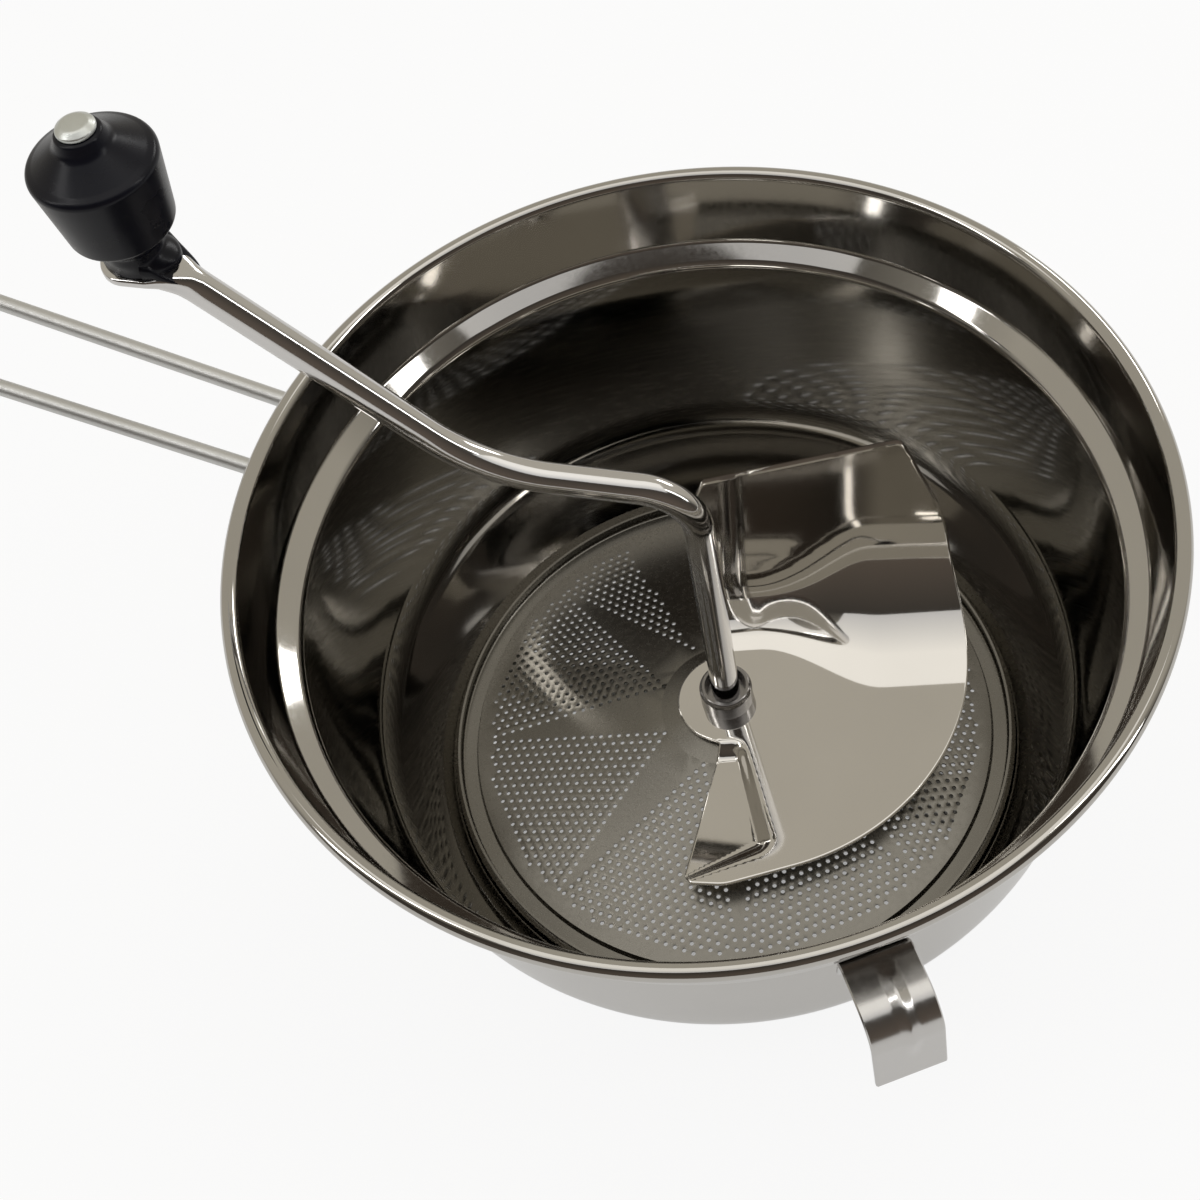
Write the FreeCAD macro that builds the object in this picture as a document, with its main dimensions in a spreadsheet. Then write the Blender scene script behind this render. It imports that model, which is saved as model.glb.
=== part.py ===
"""Hand-cranked tomato strainer (rotary food mill), built as separate pieces.

A sheet steel bowl stands on its neck ring.  A perforated cone rests on the ledge in
its foot.  The crank passes down through the cone, carries the pressing blade, and is
pulled down by a spring under a turning bar that hooks below two lugs in the neck.
Millimetres, +Z up, origin on the bowl's axis in the plane that the neck stands on.
"""
import FreeCAD, Part
import math
import os

import Sketcher

os.makedirs("parts", exist_ok=True)
doc = FreeCAD.newDocument("food_mill")

DIMENSIONS = [
    # bowl
    ("rim_diameter", 210, "over the rolled bead"),
    ("bead_diameter", 4, "rolled bead on the rim"),
    ("bead_height", 108, "centre of the bead above the standing plane"),
    ("bowl_gauge", 0.8, "sheet of the bowl"),
    ("collar_depth", 18, "collar, from the bead's centre down"),
    ("collar_taper", 3, "narrowing of the collar from the rim down"),
    ("step_width", 5, "step in below the collar"),
    ("step_drop", 3.6, "height of that step"),
    ("wall_taper", 6.6, "narrowing of the wall down to its turn"),
    ("wall_foot_height", 33.5, "where the wall turns in"),
    ("wall_turn_radius", 24, "rounding between wall and funnel"),
    ("ledge_radius", 72, "outer edge of the ledge"),
    ("ledge_height", 12.4, "top of the ledge"),
    ("neck_radius", 66, "inside of the neck"),
    ("hem_width", 2, "hem turned out at the foot of the neck"),
    # perforated cone
    ("disc_gauge", 0.6, "sheet of the cone"),
    ("disc_lip_radius", 71.2, "outside of the upturned lip"),
    ("disc_lip_height", 3, "lip above the plain ring"),
    ("cone_foot_radius", 66.2, "where the cone starts"),
    ("cone_foot_rise", 1.6, "step up from the plain ring to the cone"),
    ("cone_top_radius", 17, "where the cone ends"),
    ("cone_rise", 10.9, "height of the cone"),
    ("boss_radius", 11, "flat top round the shaft"),
    ("boss_rise", 1.5, "boss above the cone"),
    ("hole_pitch", 7.4, "between neighbouring holes"),
    ("hole_width", 3.9, "across the corners of a hole"),
    ("hole_field_outer", 63, "outer limit of the holes' centres"),
    ("hole_field_inner", 21, "first hole of each field"),
    ("field_count", 8, "fields round the cone"),
    ("blank_field", 3, "number of the field that is half blank, counted from 0"),
    # crank
    ("rod_diameter", 7, "crank rod"),
    ("rod_foot_height", 1.4, "lower end of the rod"),
    ("arm_clearance", 9.4, "centre of the level arm above the bead's centre"),
    ("elbow_radius", 12, "bend from shaft to arm"),
    ("arm_bend_radius", 35, "bend from level to rising arm"),
    ("arm_rise_angle", 47, "slope of the rising arm"),
    ("crank_reach", 106, "shaft axis to knob axis"),
    ("crank_rise", 58.8, "from the level arm up to the flattened end"),
    ("tang_length", 4.5, "from the last bend to the knob's axis"),
    ("tang_width", 12.6, "flattened end"),
    ("tang_gauge", 2.4, "flattened end"),
    ("tang_bend_radius", 3, "bend from the rising arm to the flattened end"),
    ("tang_end_reach", 2, "centre of the round end beyond the knob's axis"),
    ("flattening_run", 8.5, "over which the rod goes flat"),
    ("flat_lead", 2.3, "flat part before the last bend"),
    ("crank_azimuth", 189.2, "direction of the arm at rest"),
    # hub and blade
    ("hub_diameter", 13, "turned hub on the shaft"),
    ("hub_height", 7.5, "turned hub"),
    ("hub_dish_depth", 2.4, "hollow in the hub's top"),
    ("blade_height", 29.3, "blade's upper face at the shaft"),
    ("blade_gauge", 1, "blade sheet"),
    ("blade_azimuth", 21, "direction of the roll's straight lines"),
    ("blade_tilt", 2.55, "slope of the blade's flat part"),
    ("blade_tilt_azimuth", 2.5, "direction in which the flat part climbs"),
    ("roll_start", -5, "where the flat part ends and the roll begins"),
    ("roll_radius", 45, "underside radius of the roll"),
    ("roll_angle", 65, "angle of the roll"),
    ("roll_run", 18.5, "straight part above the roll"),
    ("tip_v", -50.3, "blade's tip, across the roll's lines"),
    ("tip_radius", 2.5, "rounding of the blade's tip"),
    ("sweep_u", 69.4, "corner that the round edge replaces, along the roll's lines"),
    ("sweep_v", -35, "the same corner, across them"),
    ("sweep_radius", 58.3, "round outer edge"),
    ("side_u", 57.3, "corner between outer edge and shoulder, along"),
    ("side_v", 34.5, "the same corner, across"),
    ("side_radius", 8, "rounding there"),
    ("shoulder_u", 48.3, "upper corner, along"),
    ("shoulder_v", 43.3, "upper corner, across"),
    ("shoulder_radius", 4, "rounding of the upper corner"),
    ("crest_u", -1.5, "inner end of the top edge, along"),
    ("crest_v", 40.4, "inner end of the top edge, across"),
    ("back_u", -7.2, "upper end of the inner edge, along"),
    ("back_v", 36, "upper end of the inner edge, across"),
    ("crest_radius", 2.5, "rounding of the top edge's inner end"),
    ("lobe_radius", 12.6, "blade round the hub"),
    ("lip_width", 7, "pressing lip, in plan"),
    ("lip_inner_reach", 12, "inner end of the pressing lip"),
    ("lip_outer_reach", 48.5, "outer end of the pressing lip"),
    ("lip_inner_drop", 0.9, "fall of the lip at its inner end"),
    ("lip_lean", 12.5, "angle of the lip's line to the roll's normal"),
    # knob
    ("pin_diameter", 5, "rivet that the knob turns on"),
    ("pin_head_diameter", 8.2, "domed upper head"),
    ("pin_head_height", 3.3, "domed upper head"),
    ("pin_foot_diameter", 6, "closed lower head"),
    ("pin_foot_height", 1.2, "closed lower head"),
    ("saddle_height", 8.3, "black foot under the knob"),
    ("saddle_width", 13, "black foot"),
    ("saddle_front", 5.5, "black foot's top, from the knob's axis towards the shaft"),
    ("saddle_tongue", 5, "tongue of the foot over the rod"),
    ("knob_height", 18.2, "knob, without its crown"),
    ("knob_foot_diameter", 21.4, "knob's lower end"),
    ("knob_foot_rise", 1.8, "height of the chamfer at the lower end"),
    ("knob_rim_diameter", 25.5, "knob's upper rim"),
    ("knob_crown", 6.5, "crown above the rim"),
    ("knob_edge_radius", 3, "rounding of the rim"),
    # handle
    ("wire_diameter", 4, "handle wire"),
    ("handle_gap", 20, "between wire centres at the bowl"),
    ("handle_end_gap", 24, "between wire centres at the loop"),
    ("handle_length", 125, "rim to the end of the loop"),
    ("handle_rise_angle", 6, "slope of the handle outwards"),
    ("handle_drop", 13, "wires at the bracket below the bead's centre"),
    ("handle_bend_radius", 4, "turn of the wire along the bracket"),
    ("wire_foot_length", 13, "wire lying on the bracket"),
    ("bracket_gauge", 1.5, "bracket plate"),
    ("bracket_height", 8, "bracket plate"),
    ("bracket_arc", 32, "angle that the bracket covers"),
    # rest hooks
    ("front_hook_azimuth", 49.5, "front hook, from the side across from the handle"),
    ("rear_hook_azimuth", 62, "rear hook, from the side across from the handle"),
    ("hook_width", 15.2, "strap"),
    ("hook_gauge", 1.2, "strap"),
    ("hook_top_drop", 13, "strap's top below the bead's centre"),
    ("hook_overhang", 12.2, "outer leg beyond the rim, at its bend"),
    ("hook_flare", 2, "outward lean of the outer leg"),
    ("hook_leg", 21, "outer leg"),
    ("hook_foot", 8.5, "inner leg on the collar"),
    ("hook_bend_radius", 8, "outer bend"),
    ("rib_width", 4.8, "pressed rib"),
    ("rib_rise", 0.8, "pressed rib"),
    ("rib_end_margin", 13, "rib ends this far above the leg's tip"),
    # bar, lugs and spring
    ("bar_gauge", 1.5, "retaining bar"),
    ("bar_width", 14, "retaining bar"),
    ("bar_half_length", 61.5, "retaining bar, from the axis"),
    ("bar_end_height", 6, "underside of its ends"),
    ("bar_bridge_height", 15, "underside of its middle"),
    ("bar_bridge_reach", 34, "half of the raised middle"),
    ("bar_end_reach", 48, "where the level ends start"),
    ("lug_gauge", 1.2, "lug plate"),
    ("lug_width", 14, "lug plate"),
    ("lug_foot", 8, "lug over the bar's end"),
    ("lug_leg", 7, "lug on the neck"),
    ("spring_wire", 1.2, "spring wire"),
    ("spring_diameter", 11, "middle of the coil"),
    ("spring_turns", 3, "coil"),
    ("cup_diameter", 16, "cup under the spring"),
    ("cup_gauge", 1, "cup under the spring"),
    ("cup_rim", 1.2, "cup's upturned rim"),
    ("cross_pin_diameter", 2.5, "pin through the foot of the rod"),
    ("cross_pin_length", 12, "pin through the foot of the rod"),
    # clearances
    ("running_fit", 0.08, "radial play of a turning shaft"),
    ("seat_gap", 0.3, "between pieces that move on each other"),
    ("press_gap", 0.02, "between pieces that are fixed together"),
]

# Shares of the neighbouring size.
NEARLY_ROUND = 0.98  # of a half width, for a corner that leaves hardly any flat
LOBE_ROUNDING = 0.9  # of the lobe's radius, for the corners of its outline
PIN_FOOT_SHARE = 0.8  # of the closed head's radius, for its flat end
PIN_DOME_SHARE = 0.7  # of the domed head's radius, where its top begins


# ------------------------------------------------------------------ sheet and formulas
class Size:
    """A length or angle: its number, and the formula that ties it to the sheet."""

    def __init__(self, value, formula=None):
        self.value = float(value)
        self.formula = formula or f"({self.value!r})"

    def joined(self, sign, other, value):
        return Size(value, f"({self.formula} {sign} {other.formula})")

    def __add__(self, other):
        other = as_size(other)
        return self.joined("+", other, self.value + other.value)

    def __sub__(self, other):
        other = as_size(other)
        return self.joined("-", other, self.value - other.value)

    def __mul__(self, other):
        other = as_size(other)
        return self.joined("*", other, self.value * other.value)

    def __truediv__(self, other):
        other = as_size(other)
        return self.joined("/", other, self.value / other.value)

    def __neg__(self):
        return self * -1

    def __rmul__(self, other):
        return as_size(other) * self

    def __radd__(self, other):
        return as_size(other) + self

    def __rsub__(self, other):
        return as_size(other) - self


def as_size(number):
    return number if isinstance(number, Size) else Size(number)


def root_of(size):
    return Size(math.sqrt(size.value), f"sqrt({size.formula})")


def sine(angle):
    return Size(math.sin(math.radians(angle.value)), f"sin({angle.formula})")


def cosine(angle):
    return Size(math.cos(math.radians(angle.value)), f"cos({angle.formula})")


def tangent(angle):
    return Size(math.tan(math.radians(angle.value)), f"tan({angle.formula})")


def make_sheet():
    """Write the driving dimensions to the sheet and return them as sizes by name."""
    sheet = doc.addObject("Spreadsheet::Sheet", "Dimensions")
    for row, (alias, value, meaning) in enumerate(DIMENSIONS, start=1):
        sheet.set(f"A{row}", alias)
        sheet.set(f"B{row}", str(value))
        sheet.setAlias(f"B{row}", alias)
        sheet.set(f"C{row}", meaning)
    doc.recompute()
    return {alias: Size(sheet.get(alias), f"Dimensions.{alias}") for alias, _, _ in DIMENSIONS}


dim = make_sheet()
ZERO = Size(0)


def bind(thing, name, size):
    """Give a property its size and tie it to the sheet."""
    setattr(thing, name, size.value)
    thing.setExpression(name, size.formula)


# ------------------------------------------------------------------ sketches
def new_body(label):
    body = doc.addObject("PartDesign::Body", label)
    body.Label = label
    return body


def origin_plane(body, role):
    return next(plane for plane in body.Origin.OriginFeatures if plane.Role == role)


def new_sketch(body, name, role, offset=None):
    """A sketch on one of the body's own planes, moved along its normal by offset."""
    sketch = body.newObject("Sketcher::SketchObject", name)
    sketch.AttachmentSupport = [(origin_plane(body, role), "")]
    sketch.MapMode = "FlatFace"
    if offset is not None:
        sketch.AttachmentOffset = FreeCAD.Placement(
            FreeCAD.Vector(0, 0, offset.value), FreeCAD.Rotation())
        sketch.setExpression("AttachmentOffset.Base.z", offset.formula)
    return sketch


def hold(sketch, kind, *place, size):
    """Add a dimension to the sketch and tie it to the sheet."""
    number = sketch.addConstraint(Sketcher.Constraint(kind, *place, size.value))
    sketch.setExpression(f"Constraints[{number}]", size.formula)


def hold_point(sketch, geometry, end, x, y):
    """Dimension a point from the sketch's origin."""
    if x is ZERO:
        sketch.addConstraint(Sketcher.Constraint("PointOnObject", geometry, end, -2))
    else:
        hold(sketch, "DistanceX", -1, 1, geometry, end, size=x)
    if y is ZERO:
        sketch.addConstraint(Sketcher.Constraint("PointOnObject", geometry, end, -1))
    else:
        hold(sketch, "DistanceY", -1, 1, geometry, end, size=y)


def circle(sketch, x, y, radius):
    centre = FreeCAD.Vector(x.value, y.value, 0)
    ring = Part.Circle(centre, FreeCAD.Vector(0, 0, 1), radius.value)
    number = sketch.addGeometry(ring, False)
    hold_point(sketch, number, 3, x, y)
    hold(sketch, "Radius", number, size=radius)


def rounding(before, corner, after, radius):
    """Where an arc of this radius leaves and meets the two edges of a corner."""
    towards = (before - corner).normalize()
    onwards = (after - corner).normalize()
    half_angle = towards.getAngle(onwards) / 2
    reach = radius / math.tan(half_angle)
    middle = (towards + onwards).normalize()
    centre = corner + middle * (radius / math.sin(half_angle))
    return corner + towards * reach, corner + onwards * reach, centre


def trace(sketch, corners, closed=True):
    """Lines through corners (x, y) or (x, y, radius), the latter rounded by an arc."""
    count = len(corners)
    spots = [FreeCAD.Vector(corner[0].value, corner[1].value, 0) for corner in corners]
    starts = list(spots)
    ends = list(spots)
    centres = [None] * count
    for i, corner in enumerate(corners):
        if len(corner) == 3:
            before, after = spots[i - 1], spots[(i + 1) % count]
            ends[i], starts[i], centres[i] = rounding(before, spots[i], after, corner[2].value)
    line_count = count if closed else count - 1
    lines = []
    for i in range(line_count):
        segment = Part.LineSegment(starts[i], ends[(i + 1) % count])
        lines.append(sketch.addGeometry(segment, False))
    for i, corner in enumerate(corners):
        has_line_in = closed or i > 0
        has_line_out = closed or i < count - 1
        line_in = lines[i - 1] if has_line_in else None
        if centres[i] is not None:
            round_corner(sketch, corner, centres[i], line_in, lines[i], ends[i], starts[i])
        elif has_line_out:
            if has_line_in:
                sketch.addConstraint(Sketcher.Constraint("Coincident", line_in, 2, lines[i], 1))
            hold_point(sketch, lines[i], 1, corner[0], corner[1])
        else:
            hold_point(sketch, line_in, 2, corner[0], corner[1])


def round_corner(sketch, corner, centre, line_in, line_out, arrive, leave):
    """Arc between two lines, held by its radius and by the sharp corner it replaces."""
    x, y, radius = corner
    turns_left = (arrive - centre).cross(leave - centre).z > 0
    first, last = (arrive, leave) if turns_left else (leave, arrive)
    start_angle = math.atan2(first.y - centre.y, first.x - centre.x)
    end_angle = math.atan2(last.y - centre.y, last.x - centre.x)
    ring = Part.Circle(centre, FreeCAD.Vector(0, 0, 1), radius.value)
    arc = sketch.addGeometry(Part.ArcOfCircle(ring, start_angle, end_angle), False)
    sharp = sketch.addGeometry(Part.Point(FreeCAD.Vector(x.value, y.value, 0)), True)
    hold_point(sketch, sharp, 1, x, y)
    sketch.addConstraint(Sketcher.Constraint("PointOnObject", sharp, 1, line_in))
    sketch.addConstraint(Sketcher.Constraint("PointOnObject", sharp, 1, line_out))
    end_in, end_out = (1, 2) if turns_left else (2, 1)
    sketch.addConstraint(Sketcher.Constraint("Tangent", line_in, 2, arc, end_in))
    sketch.addConstraint(Sketcher.Constraint("Tangent", line_out, 1, arc, end_out))
    hold(sketch, "Radius", arc, size=radius)


# ------------------------------------------------------------------ features
def revolve(body, name, corners, angle=360):
    """Turn an outline in the XZ plane about the body's Z axis."""
    sketch = new_sketch(body, name + "_outline", "XZ_Plane")
    trace(sketch, corners)
    return turn(body, name, sketch, angle)


def turn(body, name, sketch, angle=360, kind="Revolution"):
    feature = body.newObject("PartDesign::" + kind, name)
    feature.Profile = sketch
    feature.ReferenceAxis = (sketch, ["V_Axis"])
    angle = as_size(angle)
    bind(feature, "Angle", angle)
    feature.Midplane = angle.value < 360
    return feature


def pad(body, name, sketch, length, side="One side"):
    feature = body.newObject("PartDesign::Pad", name)
    feature.Profile = sketch
    feature.SideType = side
    bind(feature, "Length", length)
    return feature


def strap(body, name, corners, width):
    """Extrude an outline in the XZ plane evenly to both sides."""
    sketch = new_sketch(body, name + "_outline", "XZ_Plane")
    trace(sketch, corners)
    return pad(body, name, sketch, width, side="Symmetric")


def pocket_through(body, name, sketch):
    """Cut the sketch right through the body, both ways."""
    feature = body.newObject("PartDesign::Pocket", name)
    feature.Profile = sketch
    feature.SideType = "Symmetric"
    feature.Type = "ThroughAll"
    return feature


def bore(body, name, radius, x=ZERO, role="XY_Plane", y=ZERO, offset=None):
    """Round hole through the body."""
    sketch = new_sketch(body, name + "_outline", role, offset)
    circle(sketch, x, y, radius)
    return pocket_through(body, name, sketch)


def pipe(body, name, path, profile):
    feature = body.newObject("PartDesign::AdditivePipe", name)
    feature.Profile = profile
    feature.Spine = (path, [""])
    feature.Transition = "Transformed"
    return feature


def face_towards(body, azimuth):
    """Turn a body about the shaft's axis."""
    body.Placement = FreeCAD.Placement(
        FreeCAD.Vector(), FreeCAD.Rotation(FreeCAD.Vector(0, 0, 1), azimuth.value))
    body.setExpression("Placement.Rotation.Angle", azimuth.formula)


# ------------------------------------------------------------------ derived sizes
rod_radius = dim["rod_diameter"] / 2
bead_radius = dim["bead_diameter"] / 2
bead_circle_radius = dim["rim_diameter"] / 2 - bead_radius
collar_top_radius = bead_circle_radius - bead_radius
collar_foot_radius = collar_top_radius - dim["collar_taper"]
collar_foot_height = dim["bead_height"] - dim["collar_depth"]
collar_slope = dim["collar_taper"] / dim["collar_depth"]
wall_top_radius = collar_foot_radius - dim["step_width"]
wall_top_height = collar_foot_height - dim["step_drop"]
wall_foot_radius = wall_top_radius - dim["wall_taper"]
disc_ring_height = dim["ledge_height"] + dim["disc_gauge"]
cone_foot_height = disc_ring_height + dim["cone_foot_rise"]
cone_top_height = cone_foot_height + dim["cone_rise"]
boss_height = cone_top_height + dim["boss_rise"]
cone_slope = dim["cone_rise"] / (dim["cone_foot_radius"] - dim["cone_top_radius"])
arm_height = dim["bead_height"] + dim["arm_clearance"]
last_bend_reach = dim["crank_reach"] - dim["tang_length"]
arm_corner_reach = last_bend_reach - dim["crank_rise"] / tangent(dim["arm_rise_angle"])
flattening_end = last_bend_reach - dim["flat_lead"]
flattening_start = flattening_end - dim["flattening_run"]
tang_height = arm_height + dim["crank_rise"]
tang_top = tang_height + dim["tang_gauge"] / 2
tang_underside = tang_height - dim["tang_gauge"] / 2
saddle_underside = tang_top + dim["press_gap"]
saddle_top = saddle_underside + dim["saddle_height"]
knob_foot_height = saddle_top + dim["seat_gap"]
knob_rim_height = knob_foot_height + dim["knob_height"]
knob_top_height = knob_rim_height + dim["knob_crown"]
cross_pin_radius = dim["cross_pin_diameter"] / 2
cross_pin_height = dim["rod_foot_height"] + cross_pin_radius * 2
cup_underside = cross_pin_height + cross_pin_radius + dim["seat_gap"]
cup_floor = cup_underside + dim["cup_gauge"]
spring_foot = cup_floor + dim["seat_gap"] / 2
spring_top = dim["bar_bridge_height"] - dim["seat_gap"]
handle_height = dim["bead_height"] - dim["handle_drop"]
handle_reach = dim["rim_diameter"] / 2 + dim["handle_length"]
hook_reach = dim["rim_diameter"] / 2 + dim["hook_overhang"]


def collar_radius_at(height):
    """Outside radius of the collar at a height."""
    drop = dim["bead_height"] - height
    return collar_top_radius - drop * collar_slope + dim["bowl_gauge"]


# ------------------------------------------------------------------ bowl
def make_bowl():
    """Collar, wall, funnel, ledge and neck from one sheet, with a rolled rim."""
    body = new_body("bowl")
    gauge = dim["bowl_gauge"]
    hem_edge = dim["neck_radius"] + gauge + dim["hem_width"]
    inside = [
        (collar_top_radius, dim["bead_height"]),
        (collar_foot_radius, collar_foot_height, 2 * gauge),
        (wall_top_radius, wall_top_height, 4 * gauge),
        (wall_foot_radius, dim["wall_foot_height"], dim["wall_turn_radius"]),
        (dim["ledge_radius"], dim["ledge_height"], 2 * gauge),
        (dim["neck_radius"], dim["ledge_height"]),
        (dim["neck_radius"], ZERO),
    ]
    outside = [
        (hem_edge, ZERO),
        (hem_edge, gauge),
        (dim["neck_radius"] + gauge, gauge),
        (dim["neck_radius"] + gauge, dim["ledge_height"] - gauge),
        (dim["ledge_radius"] + gauge / 2, dim["ledge_height"] - gauge, 3 * gauge),
        (wall_foot_radius + gauge, dim["wall_foot_height"] - gauge / 4,
         dim["wall_turn_radius"] + gauge),
        (wall_top_radius + gauge, wall_top_height - gauge / 2, 3 * gauge),
        (collar_foot_radius + gauge, collar_foot_height, 3 * gauge),
        (collar_top_radius + gauge, dim["bead_height"]),
    ]
    revolve(body, "sheet", inside + outside)
    bead = new_sketch(body, "bead_outline", "XZ_Plane")
    circle(bead, bead_circle_radius, dim["bead_height"], bead_radius)
    turn(body, "bead", bead)
    return body


# ------------------------------------------------------------------ perforated cone
def hexagon(sketch, x, y, width):
    """Six-sided hole with two corners on the line through the shaft's axis."""
    steps = [math.radians(60 * side) for side in range(7)]
    ring = [FreeCAD.Vector(x + width / 2 * math.cos(a), y + width / 2 * math.sin(a), 0)
            for a in steps]
    ring[-1] = ring[0]
    for start, end in zip(ring, ring[1:]):
        sketch.addGeometry(Part.LineSegment(start, end), False)


def field_holes():
    """Centres of the holes of one field: rows that widen outwards from one hole."""
    pitch = dim["hole_pitch"].value
    row_step = pitch * math.cos(math.radians(30))
    inner = dim["hole_field_inner"].value
    outer = dim["hole_field_outer"].value - dim["hole_width"].value / 2
    row_count = int((outer - inner) / row_step) + 1
    holes = []
    for row in range(row_count):
        reach = inner + row * row_step
        for place in range(row + 1):
            side = (place - row / 2) * pitch
            if math.hypot(reach, side) <= outer:
                holes.append((reach, side))
    return holes


def perforate(body, name, holes, count, gap_after):
    """Punch holes in count fields, the last of which comes gap_after fields round."""
    sketch = new_sketch(body, name + "_outline", "XY_Plane")
    for x, y in holes:
        hexagon(sketch, x, y, dim["hole_width"].value)
    doc.recompute()
    punch = pocket_through(body, name, sketch)
    doc.recompute()
    fields = body.newObject("PartDesign::PolarPattern", name + "_fields")
    fields.Originals = [punch]
    fields.Axis = (sketch, ["N_Axis"])
    fields.Occurrences = count
    fields.Angle = gap_after * 360 / dim["field_count"].value
    body.Tip = fields
    return fields


def make_sieve_disc():
    """Perforated cone with a plain ring, an upturned lip and a boss for the shaft."""
    body = new_body("sieve_disc")
    gauge = dim["disc_gauge"]
    lip = dim["disc_lip_radius"]
    lip_top = disc_ring_height + dim["disc_lip_height"]
    foot = dim["cone_foot_radius"]
    hole = rod_radius + dim["running_fit"]
    underside = [
        (lip, lip_top),
        (lip, dim["ledge_height"], 2 * gauge),
        (foot, dim["ledge_height"]),
        (foot - gauge / 2, cone_foot_height - gauge),
        (dim["cone_top_radius"], cone_top_height - gauge),
        (dim["boss_radius"] + gauge / 2, boss_height - gauge),
        (hole, boss_height - gauge),
    ]
    upper_side = [
        (hole, boss_height),
        (dim["boss_radius"], boss_height),
        (dim["cone_top_radius"] - gauge / 4, cone_top_height),
        (foot, cone_foot_height),
        (foot + gauge, disc_ring_height),
        (lip - gauge, disc_ring_height, gauge),
        (lip - gauge, lip_top),
    ]
    revolve(body, "sheet", underside + upper_side)
    # One half of every field is punched, and the other half of all but one.
    holes = field_holes()
    count = int(dim["field_count"].value)
    perforate(body, "left_holes", [spot for spot in holes if spot[1] > 0], count, count)
    perforate(body, "right_holes", [spot for spot in holes if spot[1] <= 0], count - 1, count - 2)
    body.Placement.Rotation = FreeCAD.Rotation(
        FreeCAD.Vector(0, 0, 1), (dim["blank_field"].value + 1) * 360 / count)
    return body


# ------------------------------------------------------------------ crank
def arm_height_at(reach):
    """Height of the rising arm's centreline."""
    return arm_height + (reach - arm_corner_reach) * tangent(dim["arm_rise_angle"])


def slanted_sketch(body, name, reach):
    """Sketch square to the rising arm at a reach from the shaft."""
    sketch = body.newObject("Sketcher::SketchObject", name)
    sketch.AttachmentSupport = [(origin_plane(body, "XY_Plane"), "")]
    sketch.MapMode = "FlatFace"
    height = arm_height_at(reach)
    lean = 90 - dim["arm_rise_angle"]
    sketch.AttachmentOffset = FreeCAD.Placement(
        FreeCAD.Vector(reach.value, 0, height.value),
        FreeCAD.Rotation(FreeCAD.Vector(0, 1, 0), lean.value))
    sketch.setExpression("AttachmentOffset.Base.x", reach.formula)
    sketch.setExpression("AttachmentOffset.Base.z", height.formula)
    sketch.setExpression("AttachmentOffset.Rotation.Angle", lean.formula)
    return sketch


def rounded_rectangle(sketch, length, width, radius):
    x, y = length / 2, width / 2
    trace(sketch, [(x, -y, radius), (x, y, radius), (-x, y, radius), (-x, -y, radius)])


def make_crank_rod():
    """Shaft, level arm and rising arm bent from one rod, flattened under the knob."""
    body = new_body("crank_rod")
    path = new_sketch(body, "rod_path", "XZ_Plane")
    trace(path, [
        (ZERO, dim["rod_foot_height"]),
        (ZERO, arm_height, dim["elbow_radius"]),
        (arm_corner_reach, arm_height, dim["arm_bend_radius"]),
        (flattening_start, arm_height_at(flattening_start)),
    ], closed=False)
    section = new_sketch(body, "rod_section", "XY_Plane", dim["rod_foot_height"])
    circle(section, ZERO, ZERO, rod_radius)
    pipe(body, "rod", path, section)

    # The rod is pressed flat towards its end.
    gauge = dim["tang_gauge"]
    round_end = slanted_sketch(body, "flattening_start_section", flattening_start)
    rounded_rectangle(round_end, 2 * rod_radius, 2 * rod_radius, rod_radius * NEARLY_ROUND)
    flat_end = slanted_sketch(body, "flattening_end_section", flattening_end)
    rounded_rectangle(flat_end, gauge, dim["tang_width"], gauge / 2 * NEARLY_ROUND)
    flattening = body.newObject("PartDesign::AdditiveLoft", "flattening")
    flattening.Profile = round_end
    flattening.Sections = [flat_end]
    flattening.Ruled = True

    # The flat end bends level again and carries the knob's rivet.
    slope = dim["arm_rise_angle"]
    rise_end = flattening_end
    half_across = gauge / 2 * cosine(slope)
    half_along = gauge / 2 * sine(slope)
    shift = gauge / 2 * tangent(slope / 2)
    tip = dim["crank_reach"] + dim["tang_end_reach"]
    bend = dim["tang_bend_radius"]
    strap(body, "tang", [
        (rise_end + half_along, arm_height_at(rise_end) - half_across),
        (last_bend_reach + shift, tang_underside, bend - gauge / 2),
        (tip, tang_underside),
        (tip, tang_top),
        (last_bend_reach - shift, tang_top, bend + gauge / 2),
        (rise_end - half_along, arm_height_at(rise_end) + half_across),
    ], dim["tang_width"])
    tip_outline = new_sketch(body, "tang_end_outline", "XY_Plane", tang_underside)
    circle(tip_outline, tip, ZERO, dim["tang_width"] / 2)
    pad(body, "tang_end", tip_outline, gauge)
    doc.recompute()
    rivet_hole = new_sketch(body, "rivet_hole_outline", "XY_Plane", tang_underside)
    circle(rivet_hole, dim["crank_reach"], ZERO, dim["pin_diameter"] / 2 + dim["press_gap"])
    punch = body.newObject("PartDesign::Pocket", "rivet_hole")
    punch.Profile = rivet_hole
    bind(punch, "Length", gauge)
    punch.Reversed = True
    cross_hole = new_sketch(body, "cross_pin_hole_outline", "XZ_Plane")
    circle(cross_hole, ZERO, cross_pin_height, cross_pin_radius + dim["press_gap"])
    drill = body.newObject("PartDesign::Pocket", "cross_pin_hole")
    drill.Profile = cross_hole
    drill.SideType = "Symmetric"
    bind(drill, "Length", dim["rod_diameter"] * 2)
    face_towards(body, dim["crank_azimuth"])
    return body


def make_cross_pin():
    """Pin across the foot of the rod, which holds the spring cup up."""
    body = new_body("cross_pin")
    sketch = new_sketch(body, "pin_outline", "XZ_Plane")
    circle(sketch, ZERO, cross_pin_height, cross_pin_radius)
    pad(body, "pin", sketch, dim["cross_pin_length"], side="Symmetric")
    face_towards(body, dim["crank_azimuth"])
    return body


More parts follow.
